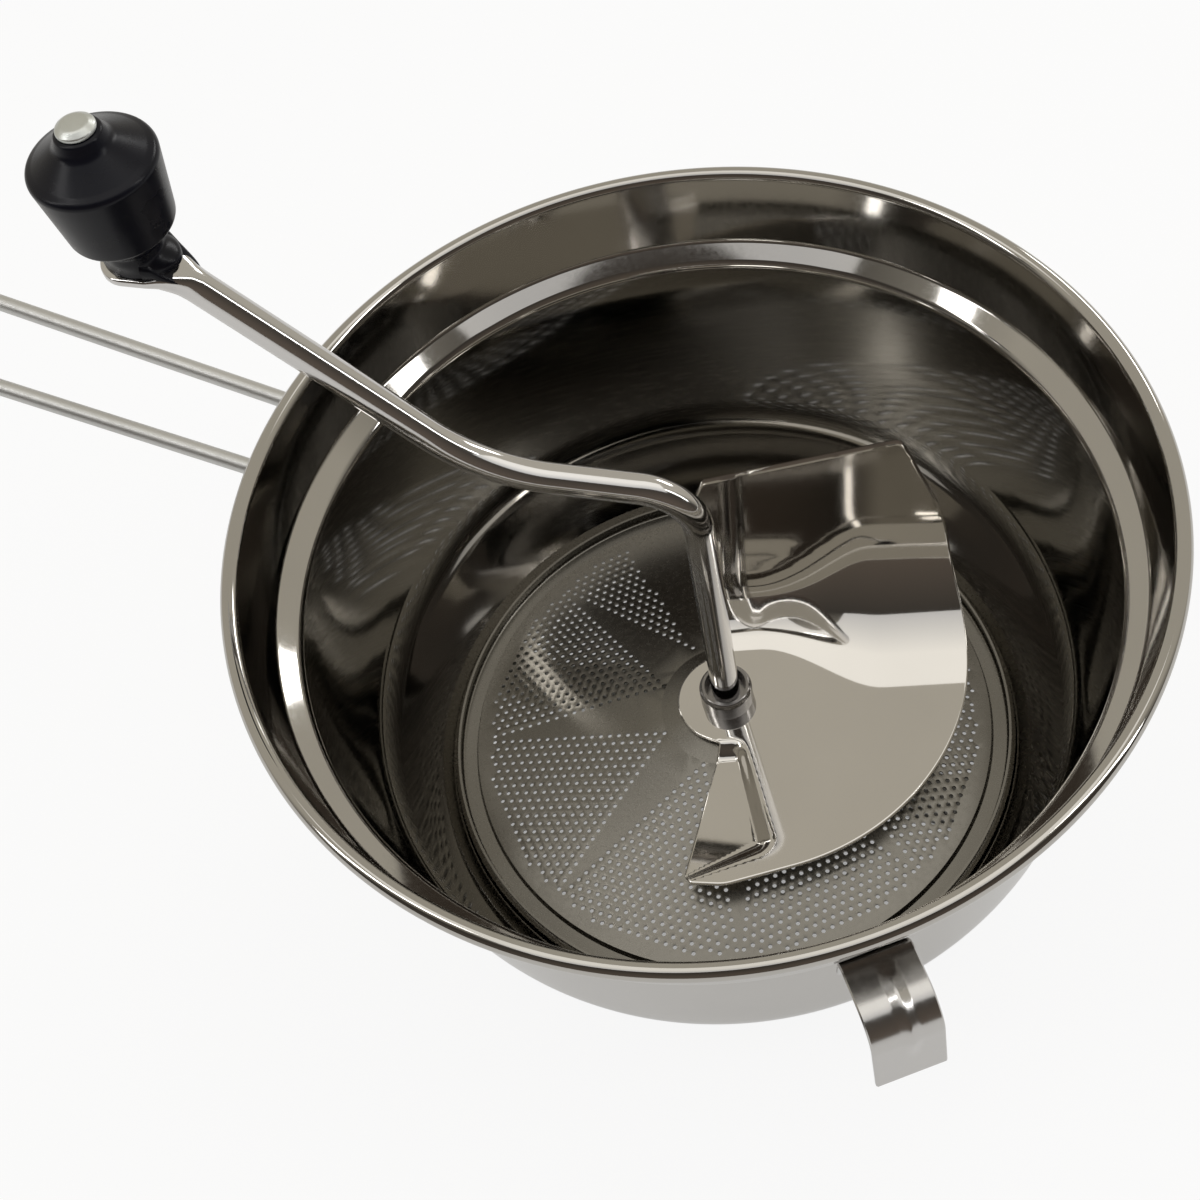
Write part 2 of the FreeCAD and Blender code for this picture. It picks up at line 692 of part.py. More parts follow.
def make_hub():
    """Turned hub that fixes the blade to the shaft, with a dished top.

    Its foot is cut to the blade's upper face, which is rolled and slightly tilted.
    """
    body = new_body("hub_collar")
    inner = rod_radius + dim["press_gap"]
    outer = dim["hub_diameter"] / 2
    foot = dim["blade_height"] - outer * sine(dim["blade_tilt"])
    top = dim["blade_height"] + dim["hub_height"]
    edge = dim["hub_dish_depth"] / 3
    revolve(body, "hub", [
        (inner, foot),
        (outer, foot),
        (outer, top - edge),
        (outer - edge, top),
        (outer - 2 * edge, top),
        (inner + edge / 2, top - dim["hub_dish_depth"]),
        (inner, top - dim["hub_dish_depth"]),
    ])
    doc.recompute()
    seat_outline = body.newObject("Sketcher::SketchObject", "seat_outline")
    side_on = FreeCAD.Rotation(FreeCAD.Vector(0, 1, 0), FreeCAD.Vector(0, 0, 1),
                               FreeCAD.Vector(1, 0, 0), "ZXY")
    seat_outline.Placement = blade_placement() * FreeCAD.Placement(FreeCAD.Vector(), side_on)
    gap = dim["press_gap"]
    roll_corner, roll_radius = roll_upper_corner()
    beyond = dim["hub_diameter"]
    trace(seat_outline, [
        (-beyond, gap),
        (roll_corner, gap, roll_radius),
        (roll_corner + roll_radius * cosine(dim["roll_angle"]),
         roll_radius * sine(dim["roll_angle"]) + gap),
        (roll_corner + roll_radius, -beyond),
        (-beyond, -beyond),
    ])
    seat = body.newObject("PartDesign::Pocket", "seat")
    seat.Profile = seat_outline
    seat.SideType = "Symmetric"
    bind(seat, "Length", 2 * beyond)
    return body


# ------------------------------------------------------------------ blade
def blade_placement():
    """Blade's own frame: turned about the shaft and tilted so that one side climbs."""
    climb = math.radians(dim["blade_tilt_azimuth"].value - dim["blade_azimuth"].value)
    level_axis = FreeCAD.Vector(-math.sin(climb), math.cos(climb), 0)
    tilt = FreeCAD.Rotation(level_axis, -dim["blade_tilt"].value)
    turned = FreeCAD.Rotation(FreeCAD.Vector(0, 0, 1), dim["blade_azimuth"].value)
    place = FreeCAD.Vector(0, 0, dim["blade_height"].value)
    return FreeCAD.Placement(place, turned * tilt)


def roll_upper_corner():
    """Corner that the roll replaces on the upper face, and the radius of that face."""
    radius = dim["roll_radius"] - dim["blade_gauge"]
    return dim["roll_start"] + radius * tangent(dim["roll_angle"] / 2), radius


def make_blade():
    """Pressing blade: flat round the shaft, rolled up behind, with a lip in front.

    In the blade's own frame the roll's straight lines run along X, and the sheet
    climbs towards +Y.  Z is zero on the upper face of the flat part.
    """
    body = new_body("blade")
    gauge = dim["blade_gauge"]
    radius = dim["roll_radius"]
    start = dim["roll_start"]
    angle = dim["roll_angle"]
    roll_reach, upper_radius = roll_upper_corner()
    under_reach = start + radius * tangent(angle / 2)
    run = dim["roll_run"] + radius * tangent(angle / 2)
    front = dim["tip_v"] - gauge
    end_v = under_reach + run * cosine(angle)
    end_z = run * sine(angle) - gauge
    side_v = gauge * sine(angle)
    side_z = gauge * cosine(angle)
    strip_start = -(dim["lobe_radius"] + 2 * gauge)
    strip_end = dim["sweep_u"]
    side_view = new_sketch(body, "strip_outline", "YZ_Plane", strip_start)
    trace(side_view, [
        (front, -gauge),
        (under_reach, -gauge, radius),
        (end_v, end_z),
        (end_v - side_v, end_z + side_z),
        (roll_reach, ZERO, upper_radius),
        (front, ZERO),
    ])
    pad(body, "strip", side_view, strip_end - strip_start)
    doc.recompute()
    cut_blade_plan(body, strip_start, strip_end, front, end_v)
    doc.recompute()
    make_lip(body)
    bore(body, "shaft_hole", rod_radius + dim["running_fit"])

    body.Placement = blade_placement()
    return body


def cut_blade_plan(body, strip_start, strip_end, front, back):
    """Cut the rolled strip to the blade's plan."""
    plan = new_sketch(body, "plan_outline", "XY_Plane")
    margin = 2 * dim["blade_gauge"]
    left, right = strip_start - margin, strip_end + margin
    near, far = front - margin, back + margin
    trace(plan, [(left, near), (right, near), (right, far), (left, far)])
    neck = lip_line(dim["lip_inner_reach"])
    tip = lip_line(dim["lip_outer_reach"])
    lobe = dim["lobe_radius"]
    # Three corners round the back of the hub, rounded to nearly the lobe's radius.
    back_side, corner_step = Size(180), Size(50)
    lobe_sides = [back_side - corner_step, back_side, back_side + corner_step]
    lobe_reach = lobe / cosine(corner_step / 2)
    lobe_start = back_side - 3 * corner_step / 2
    lobe_end = back_side + 3 * corner_step / 2
    trace(plan, [
        (neck[0] + dim["lip_width"], neck[1]),
        (tip[0] + dim["lip_width"], tip[1]),
        (tip[0] + dim["lip_width"], dim["tip_v"], dim["tip_radius"]),
        (dim["sweep_u"], dim["sweep_v"], dim["sweep_radius"]),
        (dim["side_u"], dim["side_v"], dim["side_radius"]),
        (dim["shoulder_u"], dim["shoulder_v"], dim["shoulder_radius"]),
        (dim["crest_u"], dim["crest_v"], dim["crest_radius"]),
        (dim["back_u"], dim["back_v"], dim["crest_radius"]),
        (lobe * cosine(lobe_start), lobe * sine(lobe_start)),
        *[(lobe_reach * cosine(side), lobe_reach * sine(side), lobe * LOBE_ROUNDING)
          for side in lobe_sides],
        (lobe * cosine(lobe_end), lobe * sine(lobe_end)),
    ])
    pocket_through(body, "plan", plan)


def lip_line(reach):
    """Point of the line in which the lip meets the cone, in the blade's plan."""
    lean = dim["lip_lean"]
    return (-reach * sine(lean), -reach * cosine(lean))


def make_lip(body):
    """Lip that falls from the blade's leading edge to the cone."""
    gauge = dim["blade_gauge"]
    sections = []
    for name, reach in (("inner", dim["lip_inner_reach"]), ("outer", dim["lip_outer_reach"])):
        x, y = lip_line(reach)
        if name == "inner":
            drop = dim["lip_inner_drop"]
        else:
            cone_height = cone_foot_height + (dim["cone_foot_radius"] - reach) * cone_slope
            direction = dim["blade_azimuth"] - 90 - dim["lip_lean"] - dim["blade_tilt_azimuth"]
            climb = reach * tangent(dim["blade_tilt"]) * cosine(direction)
            drop = dim["blade_height"] + climb - cone_height - dim["seat_gap"] - gauge
        sketch = new_sketch(body, f"lip_{name}_section", "XZ_Plane", -y)
        trace(sketch, [
            (x, -drop - gauge),
            (x + dim["lip_width"], -gauge),
            (x + dim["lip_width"] + gauge, -gauge),
            (x + dim["lip_width"] + gauge, ZERO),
            (x + dim["lip_width"], ZERO),
            (x, -drop),
        ])
        sections.append(sketch)
    lip = body.newObject("PartDesign::AdditiveLoft", "lip")
    lip.Profile = sections[0]
    lip.Sections = sections[1:]
    lip.Ruled = True
    return lip


# ------------------------------------------------------------------ knob
def make_knob_saddle():
    """Black foot between the flattened rod and the knob, with a tongue over the rod."""
    body = new_body("knob_saddle")
    tongue = dim["saddle_tongue"]
    tip = dim["crank_reach"] + dim["tang_end_reach"]
    lift = dim["press_gap"] + dim["tang_gauge"] / 2 * tangent(dim["arm_rise_angle"] / 2)
    tongue_end = last_bend_reach - tongue
    strap(body, "foot", [
        (tip, saddle_underside),
        (tip, saddle_top),
        (dim["crank_reach"] - dim["saddle_front"], saddle_top),
        (tongue_end, saddle_underside - tongue / 3),
        (tongue_end + tongue / 5, saddle_underside - tongue / 2),
        (last_bend_reach - lift, saddle_underside),
    ], dim["saddle_width"])
    round_end = new_sketch(body, "round_end_outline", "XY_Plane", saddle_underside)
    circle(round_end, tip, ZERO, dim["saddle_width"] / 2)
    pad(body, "round_end", round_end, dim["saddle_height"])
    doc.recompute()
    bore(body, "rivet_hole", dim["pin_diameter"] / 2 + dim["press_gap"], x=dim["crank_reach"])
    face_towards(body, dim["crank_azimuth"])
    return body


def at_knob(body):
    """Move a turned piece from the body's own axis to the knob's axis."""
    turned = FreeCAD.Rotation(FreeCAD.Vector(0, 0, 1), dim["crank_azimuth"].value)
    place = turned.multVec(FreeCAD.Vector(dim["crank_reach"].value, 0, 0))
    body.Placement = FreeCAD.Placement(place, turned)
    body.setExpression("Placement.Base.x",
                       (dim["crank_reach"] * cosine(dim["crank_azimuth"])).formula)
    body.setExpression("Placement.Base.y",
                       (dim["crank_reach"] * sine(dim["crank_azimuth"])).formula)


def make_knob_pin():
    """Rivet that holds foot and knob to the rod, with a domed head."""
    body = new_body("knob_pin")
    shank = dim["pin_diameter"] / 2
    foot = dim["pin_foot_diameter"] / 2
    head = dim["pin_head_diameter"] / 2
    foot_top = tang_underside - dim["press_gap"]
    foot_end = foot_top - dim["pin_foot_height"]
    head_start = knob_top_height + dim["seat_gap"]
    head_end = head_start + dim["pin_head_height"]
    revolve(body, "rivet", [
        (ZERO, foot_end),
        (foot * PIN_FOOT_SHARE, foot_end),
        (foot, foot_top),
        (shank, foot_top),
        (shank, head_start),
        (head, head_start),
        (head, head_start + dim["pin_head_height"] / 3),
        (head * PIN_DOME_SHARE, head_end - dim["pin_head_height"] / 8),
        (ZERO, head_end),
    ])
    at_knob(body)
    return body


def make_knob():
    """Tapered knob with a sloping crown, turning on the rivet."""
    body = new_body("knob_body")
    hole = dim["pin_diameter"] / 2 + dim["running_fit"]
    foot = dim["knob_foot_diameter"] / 2
    rim = dim["knob_rim_diameter"] / 2
    edge = dim["knob_edge_radius"]
    revolve(body, "knob", [
        (hole, knob_foot_height),
        (foot - dim["knob_foot_rise"], knob_foot_height),
        (foot, knob_foot_height + dim["knob_foot_rise"], edge / 2),
        (rim, knob_rim_height, edge),
        (dim["pin_head_diameter"] / 2 + edge / 4, knob_top_height, edge),
        (hole, knob_top_height),
    ])
    at_knob(body)
    return body


# ------------------------------------------------------------------ handle
def make_handle_bracket():
    """Plate bent to the collar, which the handle's wire is welded to."""
    body = new_body("handle_bracket")
    gauge = dim["bracket_gauge"]
    half = dim["bracket_height"] / 2
    top, foot = handle_height + half, handle_height - half
    lean = dim["press_gap"]
    revolve(body, "plate", [
        (collar_radius_at(foot) + lean, foot),
        (collar_radius_at(foot) + gauge, foot),
        (collar_radius_at(top) + gauge, top),
        (collar_radius_at(top) + lean, top),
    ], dim["bracket_arc"])
    body.Placement.Rotation = FreeCAD.Rotation(FreeCAD.Vector(0, 0, 1), 180)
    return body


def make_handle_wire():
    """One wire bent to a long loop, its two ends turned along the bracket."""
    body = new_body("handle_wire")
    wire_radius = dim["wire_diameter"] / 2
    slope = dim["handle_rise_angle"]
    lying_radius = (collar_radius_at(handle_height + wire_radius)
                    + dim["bracket_gauge"] + wire_radius + dim["press_gap"])
    half_gap = dim["handle_gap"] / 2
    half_end = dim["handle_end_gap"] / 2
    touch_side = half_gap + dim["wire_foot_length"] / 2
    touch_reach = root_of(lying_radius * lying_radius - touch_side * touch_side)
    fall = touch_side / touch_reach * (dim["wire_foot_length"] / 2)
    inner = (touch_reach + fall) / cosine(slope)
    outer = (touch_reach - fall) / cosine(slope)
    loop_end = handle_reach / cosine(slope)
    side_end = half_gap + dim["wire_foot_length"]
    bend = dim["handle_bend_radius"]
    loop_bend = half_end * NEARLY_ROUND
    path = new_sketch(body, "wire_path", "XY_Plane")
    trace(path, [
        (outer, side_end),
        (inner, half_gap, bend),
        (loop_end, half_end, loop_bend),
        (loop_end, -half_end, loop_bend),
        (inner, -half_gap, bend),
        (outer, -side_end),
    ], closed=False)
    doc.recompute()
    section = body.newObject("Sketcher::SketchObject", "wire_section")
    section.AttachmentSupport = [(path, "Edge1")]
    section.MapMode = "NormalToEdge"
    section.MapPathParameter = 0
    circle(section, ZERO, ZERO, wire_radius)
    pipe(body, "wire", path, section)
    tilt = FreeCAD.Rotation(FreeCAD.Vector(0, 1, 0), -slope.value)
    half_turn = FreeCAD.Rotation(FreeCAD.Vector(0, 0, 1), 180)
    axis_height = handle_height - touch_reach * tangent(slope)
    place = FreeCAD.Vector(0, 0, axis_height.value)
    body.Placement = FreeCAD.Placement(place, half_turn * tilt)
    body.setExpression("Placement.Base.z", axis_height.formula)
    return body


# ------------------------------------------------------------------ rest hooks
def make_hook(label, azimuth):
    """Bent strap that hangs the mill on a pot's rim, with a pressed rib."""
    body = new_body(label)
    gauge = dim["hook_gauge"]
    top = dim["bead_height"] - dim["hook_top_drop"]
    foot = top - dim["hook_foot"]
    at_foot = collar_radius_at(foot) + dim["press_gap"]
    at_top = collar_radius_at(top) + dim["press_gap"]
    tip_reach = hook_reach + dim["hook_flare"]
    tip = top - dim["hook_leg"]
    bend = dim["hook_bend_radius"]
    inner_bend = 2 * gauge
    strap(body, "strap", [
        (at_foot, foot),
        (at_foot + gauge, foot),
        (at_top + gauge, top - gauge, inner_bend),
        (hook_reach - gauge, top - gauge, bend - gauge),
        (tip_reach - gauge, tip),
        (tip_reach, tip),
        (hook_reach, top, bend),
        (at_top, top, inner_bend + gauge),
    ], dim["hook_width"])
    rise = dim["rib_rise"]
    margin = dim["rib_end_margin"]
    lean = dim["hook_flare"] * margin / dim["hook_leg"]
    strap(body, "rib", [
        (at_top + 4 * gauge, top - gauge / 2),
        (at_top + 6 * gauge, top + rise),
        (hook_reach + rise, top + rise, bend + rise),
        (tip_reach + rise - lean, tip + margin + rise),
        (tip_reach - gauge / 2 - lean, tip + margin),
        (hook_reach - gauge / 2, top - gauge / 2, bend - gauge / 2),
    ], dim["rib_width"])
    face_towards(body, azimuth)
    return body


# ------------------------------------------------------------------ spring mechanism
def make_lug(label, azimuth):
    """Lug in the neck that the bar's end hooks under."""
    body = new_body(label)
    gauge = dim["lug_gauge"]
    half_width = dim["lug_width"] / 2
    neck = dim["neck_radius"]
    outer = root_of(neck * neck - half_width * half_width) - dim["press_gap"]
    underside = dim["bar_end_height"] + dim["bar_gauge"] + dim["seat_gap"]
    top = underside + gauge
    strap(body, "lug", [
        (outer, top - dim["lug_leg"]),
        (outer, top, gauge * 1.5),
        (outer - dim["lug_foot"], top),
        (outer - dim["lug_foot"], underside),
        (outer - gauge, underside, gauge / 2),
        (outer - gauge, top - dim["lug_leg"]),
    ], dim["lug_width"])
    face_towards(body, azimuth)
    return body


def make_retaining_bar():
    """Bridge-shaped bar that the spring pushes up against the lugs."""
    body = new_body("retaining_bar")
    gauge = dim["bar_gauge"]
    low, high = dim["bar_end_height"], dim["bar_bridge_height"]
    end, ramp_foot, ramp_top = dim["bar_half_length"], dim["bar_end_reach"], dim["bar_bridge_reach"]
    rise, run = high - low, ramp_foot - ramp_top
    shift = gauge * (root_of(run * run + rise * rise) - run) / rise
    bend = 2 * gauge
    strap(body, "bar", [
        (-end, low), (-ramp_foot, low, bend), (-ramp_top, high, bend),
        (ramp_top, high, bend), (ramp_foot, low, bend), (end, low),
        (end, low + gauge), (ramp_foot + shift, low + gauge, bend),
        (ramp_top + shift, high + gauge, bend), (-ramp_top - shift, high + gauge, bend),
        (-ramp_foot - shift, low + gauge, bend), (-end, low + gauge),
    ], dim["bar_width"])
    bore(body, "shaft_hole", rod_radius + dim["running_fit"])
    return body


def make_spring_cup():
    """Cup on the shaft that the spring stands in."""
    body = new_body("spring_cup")
    rim = dim["cup_diameter"] / 2
    gauge = dim["cup_gauge"]
    hole = rod_radius + dim["running_fit"]
    revolve(body, "cup", [
        (hole, cup_underside),
        (rim, cup_underside, gauge),
        (rim, cup_floor + dim["cup_rim"]),
        (rim - gauge, cup_floor + dim["cup_rim"]),
        (rim - gauge, cup_floor),
        (hole, cup_floor),
    ])
    return body


def make_spring():
    """Compression spring between the cup and the bar, of eight-sided wire."""
    body = new_body("pressure_spring")
    wire = dim["spring_wire"] / 2
    reach, height = dim["spring_diameter"] / 2, spring_foot + wire
    sides = [Size(45 * number) for number in range(8)]
    section = new_sketch(body, "wire_outline", "XZ_Plane")
    trace(section, [(reach + wire * cosine(side), height + wire * sine(side)) for side in sides])
    coil = body.newObject("PartDesign::AdditiveHelix", "coil")
    coil.Profile = section
    coil.ReferenceAxis = (section, ["V_Axis"])
    coil.Mode = "height-turns-angle"
    bind(coil, "Height", spring_top - spring_foot - 2 * wire)
    bind(coil, "Turns", dim["spring_turns"])
    return body


# ------------------------------------------------------------------ build and write
def build():
    return [
        make_bowl(),
        make_sieve_disc(),
        make_handle_bracket(),
        make_handle_wire(),
        make_hook("rest_hook_front", -dim["front_hook_azimuth"]),
        make_hook("rest_hook_rear", dim["rear_hook_azimuth"]),
        make_lug("bar_lug_left", Size(180)),
        make_lug("bar_lug_right", ZERO),
        make_retaining_bar(),
        make_spring_cup(),
        make_spring(),
        make_cross_pin(),
        make_crank_rod(),
        make_hub(),
        make_blade(),
        make_knob_saddle(),
        make_knob_pin(),
        make_knob(),
    ]


def check(pieces):
    """Stop if any object failed to compute or any piece isn't one sound solid."""
    for thing in doc.Objects:
        if "Invalid" in thing.State or "Error" in thing.State:
            raise RuntimeError(f"{thing.Name} did not compute: {thing.State}")
    for piece in pieces:
        shape = piece.Shape
        if shape.isNull() or not shape.isValid() or len(shape.Solids) != 1:
            raise RuntimeError(f"{piece.Label} isn't one sound solid")


pieces = build()
doc.recompute()
check(pieces)
for piece in pieces:
    piece.Shape.exportStep(f"parts/{piece.Label}.step")
    print(f"{piece.Label:18s} {piece.Shape.Volume:10.1f} mm3")
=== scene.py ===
import math

import bpy
import bmesh
from mathutils import Matrix, Vector, geometry


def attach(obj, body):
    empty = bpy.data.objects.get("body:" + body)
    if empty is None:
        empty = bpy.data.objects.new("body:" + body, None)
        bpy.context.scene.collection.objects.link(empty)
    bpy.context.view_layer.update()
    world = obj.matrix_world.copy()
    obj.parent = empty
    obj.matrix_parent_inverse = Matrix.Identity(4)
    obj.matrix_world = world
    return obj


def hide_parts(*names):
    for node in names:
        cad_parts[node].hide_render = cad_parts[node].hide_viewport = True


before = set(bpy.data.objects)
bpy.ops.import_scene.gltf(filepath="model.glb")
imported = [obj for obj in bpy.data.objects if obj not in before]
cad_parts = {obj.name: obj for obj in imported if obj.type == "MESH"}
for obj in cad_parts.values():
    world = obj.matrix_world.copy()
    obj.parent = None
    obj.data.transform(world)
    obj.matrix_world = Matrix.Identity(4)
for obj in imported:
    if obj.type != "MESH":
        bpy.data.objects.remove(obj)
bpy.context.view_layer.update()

MM = 0.001
CRANK_AZIMUTH = math.radians(189.2)
CRANK_REACH = 106.0
FRONT_HOOK_AZIMUTH, REAR_HOOK_AZIMUTH = math.radians(-49.5), math.radians(62)


# ---------------------------------------------------------------- shares
def across_share(value, start, end):
    """How far value lies on the way from start to end."""
    return (value - start) / (end - start)


def smooth(share):
    """Share that eases in and out, held between 0 and 1."""
    share = min(1.0, max(0.0, share))
    return share * share * (3 - 2 * share)


# ---------------------------------------------------------------- outlines
def corner_arc(before, corner, after, radius, step):
    """Points of the arc that rounds a corner of an outline."""
    before, corner, after = Vector(before), Vector(corner), Vector(after)
    towards = (before - corner).normalized()
    onwards = (after - corner).normalized()
    half = towards.angle(onwards) / 2
    centre = corner + (towards + onwards).normalized() * (radius / math.sin(half))
    arrive = corner + towards * (radius / math.tan(half)) - centre
    leave = corner + onwards * (radius / math.tan(half)) - centre
    start = math.atan2(arrive.y, arrive.x)
    sweep = math.atan2(leave.y, leave.x) - start
    sweep = (sweep + math.pi) % (2 * math.pi) - math.pi
    count = max(2, int(abs(sweep) / step) + 1)
    return [(centre.x + radius * math.cos(start + sweep * i / count),
             centre.y + radius * math.sin(start + sweep * i / count)) for i in range(count + 1)]


def outline(corners, closed=True, step=math.radians(5)):
    """Points through corners (x, y) or (x, y, radius), the latter rounded."""
    points = []
    count = len(corners)
    for i, corner in enumerate(corners):
        if len(corner) == 3 and corner[2] > 0:
            before, after = corners[i - 1][:2], corners[(i + 1) % count][:2]
            points += corner_arc(before, corner[:2], after, corner[2], step)
        else:
            points.append(tuple(corner[:2]))
    return points


def divided(points, length, closed=False):
    """The same outline with no step longer than length."""
    out = []
    ends = points[1:] + points[:1] if closed else points[1:]
    for a, b in zip(points, ends):
        parts = max(1, math.ceil(math.dist(a, b) / length))
        out += [tuple(p + (q - p) * i / parts for p, q in zip(a, b)) for i in range(parts)]
    return out if closed else out + [points[-1]]


# ---------------------------------------------------------------- meshes
def piece(name, vertices, faces, body, stands_for=(), sharp=35, place=None):
    """A mesh in millimetres that rides on a body, smooth apart from its sharp edges."""
    mesh = bpy.data.meshes.new(name)
    mesh.from_pydata([Vector(v) * MM for v in vertices], [], faces)
    work = bmesh.new()
    work.from_mesh(mesh)
    bmesh.ops.remove_doubles(work, verts=work.verts, dist=1e-7)
    bmesh.ops.recalc_face_normals(work, faces=work.faces)
    work.to_mesh(mesh)
    work.free()
    if place is not None:
        mesh.transform(place)
    mesh.shade_smooth()
    mesh.set_sharp_from_angle(angle=math.radians(sharp))
    thing = bpy.data.objects.new(name, mesh)
    bpy.context.scene.collection.objects.link(thing)
    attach(thing, body)
    if stands_for:
        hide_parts(*stands_for)
    return thing


def lathe_mesh(profile, segments):
    """Vertices and faces of a closed profile (radius, height) turned about Z."""
    count = len(profile)
    vertices, faces = [], []
    for i in range(segments):
        turn = 2 * math.pi * i / segments
        vertices += [(r * math.cos(turn), r * math.sin(turn), z) for r, z in profile]
    for i in range(segments):
        here, there = i * count, (i + 1) % segments * count
        for j in range(count):
            k = (j + 1) % count
            if profile[j][0] or profile[k][0]:
                faces.append((here + j, there + j, there + k, here + k))
    return vertices, faces


def joined(*meshes):
    """One list of vertices and one of faces, from several meshes."""
    vertices, faces = [], []
    for more_vertices, more_faces in meshes:
        start = len(vertices)
        vertices += more_vertices
        faces += [tuple(start + v for v in face) for face in more_faces]
    return vertices, faces


def sweep_mesh(stations, sections):
    """Closed sections (across, up) carried along stations (centre, across, up)."""
    count = len(sections[0])
    vertices, faces = [], []
    for (centre, across, up), section in zip(stations, sections):
        vertices += [centre + across * a + up * b for a, b in section]
    for i in range(len(stations) - 1):
        for j in range(count):
            k = (j + 1) % count
            faces.append((i * count + j, i * count + k, (i + 1) * count + k, (i + 1) * count + j))
    last = (len(stations) - 1) * count
    faces.append(tuple(reversed(range(count))))
    faces.append(tuple(range(last, last + count)))
    return vertices, faces


def ring(radius, sides=32):
    """Points of a circle."""
    return [(radius * math.cos(2 * math.pi * i / sides), radius * math.sin(2 * math.pi * i / sides))
            for i in range(sides)]


def path_stations(points, up):
    """Stations along points, whose sections stay square to the path."""
    stations = []
    for i, point in enumerate(points):
        ahead = points[min(i + 1, len(points) - 1)] - points[max(i - 1, 0)]
        across = ahead.cross(up).normalized()
        stations.append((point, across, across.cross(ahead).normalized()))
    return stations


def turned(azimuth, centre=(0, 0, 0)):
    """Placement turned about Z, with its centre in millimetres."""
    return Matrix.Translation(Vector(centre) * MM) @ Matrix.Rotation(azimuth, 4, "Z")


# ---------------------------------------------------------------- finishes
def node(tree, kind, at=(0, 0), **values):
    """A new node; values name its inputs or its settings."""
    made = tree.nodes.new(kind)
    made.location = at
    for name, value in values.items():
        if name in made.inputs:
            made.inputs[name].default_value = value
        else:
            setattr(made, name, value)
    return made


def steel(name, color, roughness, spread, mottle=0.06):
    """Steel whose tone varies in soft clouds, and its gloss in a fine grain."""
    material = bpy.data.materials.new(name)
    material.use_nodes = True
    tree = material.node_tree
    shader = tree.nodes["Principled BSDF"]
    shader.inputs["Metallic"].default_value = 1.0
    place = node(tree, "ShaderNodeTexCoord", (-1100, 0))
    cloud = node(tree, "ShaderNodeTexNoise", (-800, 200), Scale=28.0, Detail=4.0)
    tree.links.new(place.outputs["Object"], cloud.inputs["Vector"])
    tone = node(tree, "ShaderNodeMix", (-400, 300), data_type="RGBA")
    tone.inputs["A"].default_value = (*[c * (1 - mottle) for c in color], 1)
    tone.inputs["B"].default_value = (*[min(1, c * (1 + mottle)) for c in color], 1)
    tree.links.new(cloud.outputs["Fac"], tone.inputs["Factor"])
    tree.links.new(tone.outputs["Result"], shader.inputs["Base Color"])
    grain = node(tree, "ShaderNodeTexNoise", (-700, -200), Scale=900.0, Detail=3.0)
    tree.links.new(place.outputs["Object"], grain.inputs["Vector"])
    gloss = node(tree, "ShaderNodeMapRange", (-400, 0))
    gloss.inputs["To Min"].default_value = max(0.01, roughness - spread)
    gloss.inputs["To Max"].default_value = roughness + spread
    tree.links.new(grain.outputs["Fac"], gloss.inputs["Value"])
    tree.links.new(gloss.outputs["Result"], shader.inputs["Roughness"])
    return material


def plastic(name, color, roughness, shine):
    """Moulded plastic, faintly uneven in tone, gloss and surface."""
    low, high = 0.8, 1.25
    material = bpy.data.materials.new(name)
    material.use_nodes = True
    tree = material.node_tree
    shader = tree.nodes["Principled BSDF"]
    shader.inputs["Specular IOR Level"].default_value = shine
    place = node(tree, "ShaderNodeTexCoord", (-900, 0))
    cloud = node(tree, "ShaderNodeTexNoise", (-700, 0), Scale=160.0, Detail=5.0)
    tree.links.new(place.outputs["Object"], cloud.inputs["Vector"])
    tone = node(tree, "ShaderNodeMix", (-400, 200), data_type="RGBA")
    tone.inputs["A"].default_value = (*[c * low for c in color], 1)
    tone.inputs["B"].default_value = (*[c * high for c in color], 1)
    tree.links.new(cloud.outputs["Fac"], tone.inputs["Factor"])
    tree.links.new(tone.outputs["Result"], shader.inputs["Base Color"])
    gloss = node(tree, "ShaderNodeMapRange", (-400, 0))
    gloss.inputs["To Min"].default_value = roughness * low
    gloss.inputs["To Max"].default_value = roughness * high
    tree.links.new(cloud.outputs["Fac"], gloss.inputs["Value"])
    tree.links.new(gloss.outputs["Result"], shader.inputs["Roughness"])
    bump = node(tree, "ShaderNodeBump", (-300, -300), Distance=0.0002, Strength=0.08)
    tree.links.new(cloud.outputs["Fac"], bump.inputs["Height"])
    tree.links.new(bump.outputs["Normal"], shader.inputs["Normal"])
    return material


BOWL_STEEL = steel("polished_bowl_steel", (0.49, 0.475, 0.45), 0.06, spread=0.03)
SIEVE_STEEL = steel("satin_sieve_steel", (0.185, 0.175, 0.155), 0.26, spread=0.08, mottle=0.14)
BLADE_STEEL = steel("polished_blade_steel", (0.62, 0.60, 0.57), 0.05, spread=0.02)
ROD_STEEL = steel("polished_rod_steel", (0.62, 0.61, 0.60), 0.10, spread=0.05)
WIRE_STEEL = steel("drawn_wire_steel", (0.60, 0.60, 0.59), 0.45, spread=0.10, mottle=0.10)
# Painted dark reflection: the polished hub collar is given a dark steel colour in place of the dark
# surroundings it mirrors. Its recess is real geometry.
HUB_STEEL = steel("hub_steel_painted_dark", (0.26, 0.25, 0.245), 0.20, spread=0.06)
HOOK_STEEL = steel("polished_hook_steel", (0.55, 0.54, 0.53), 0.20, spread=0.06)
SATIN_STEEL = steel("satin_steel", (0.50, 0.50, 0.49), 0.32, spread=0.1)
SPRING_STEEL = steel("spring_steel", (0.40, 0.40, 0.40), 0.3, spread=0.1)
RIVET_STEEL = steel("dull_rivet", (0.62, 0.64, 0.62), 0.38, spread=0.12, mottle=0.25)
BLACK_PLASTIC = plastic("black_moulding", (0.0055, 0.006, 0.011), 0.27, 0.2)


def finish(thing, material):
    """Gives a piece its one material."""
    thing.data.materials.clear()
    thing.data.materials.append(material)


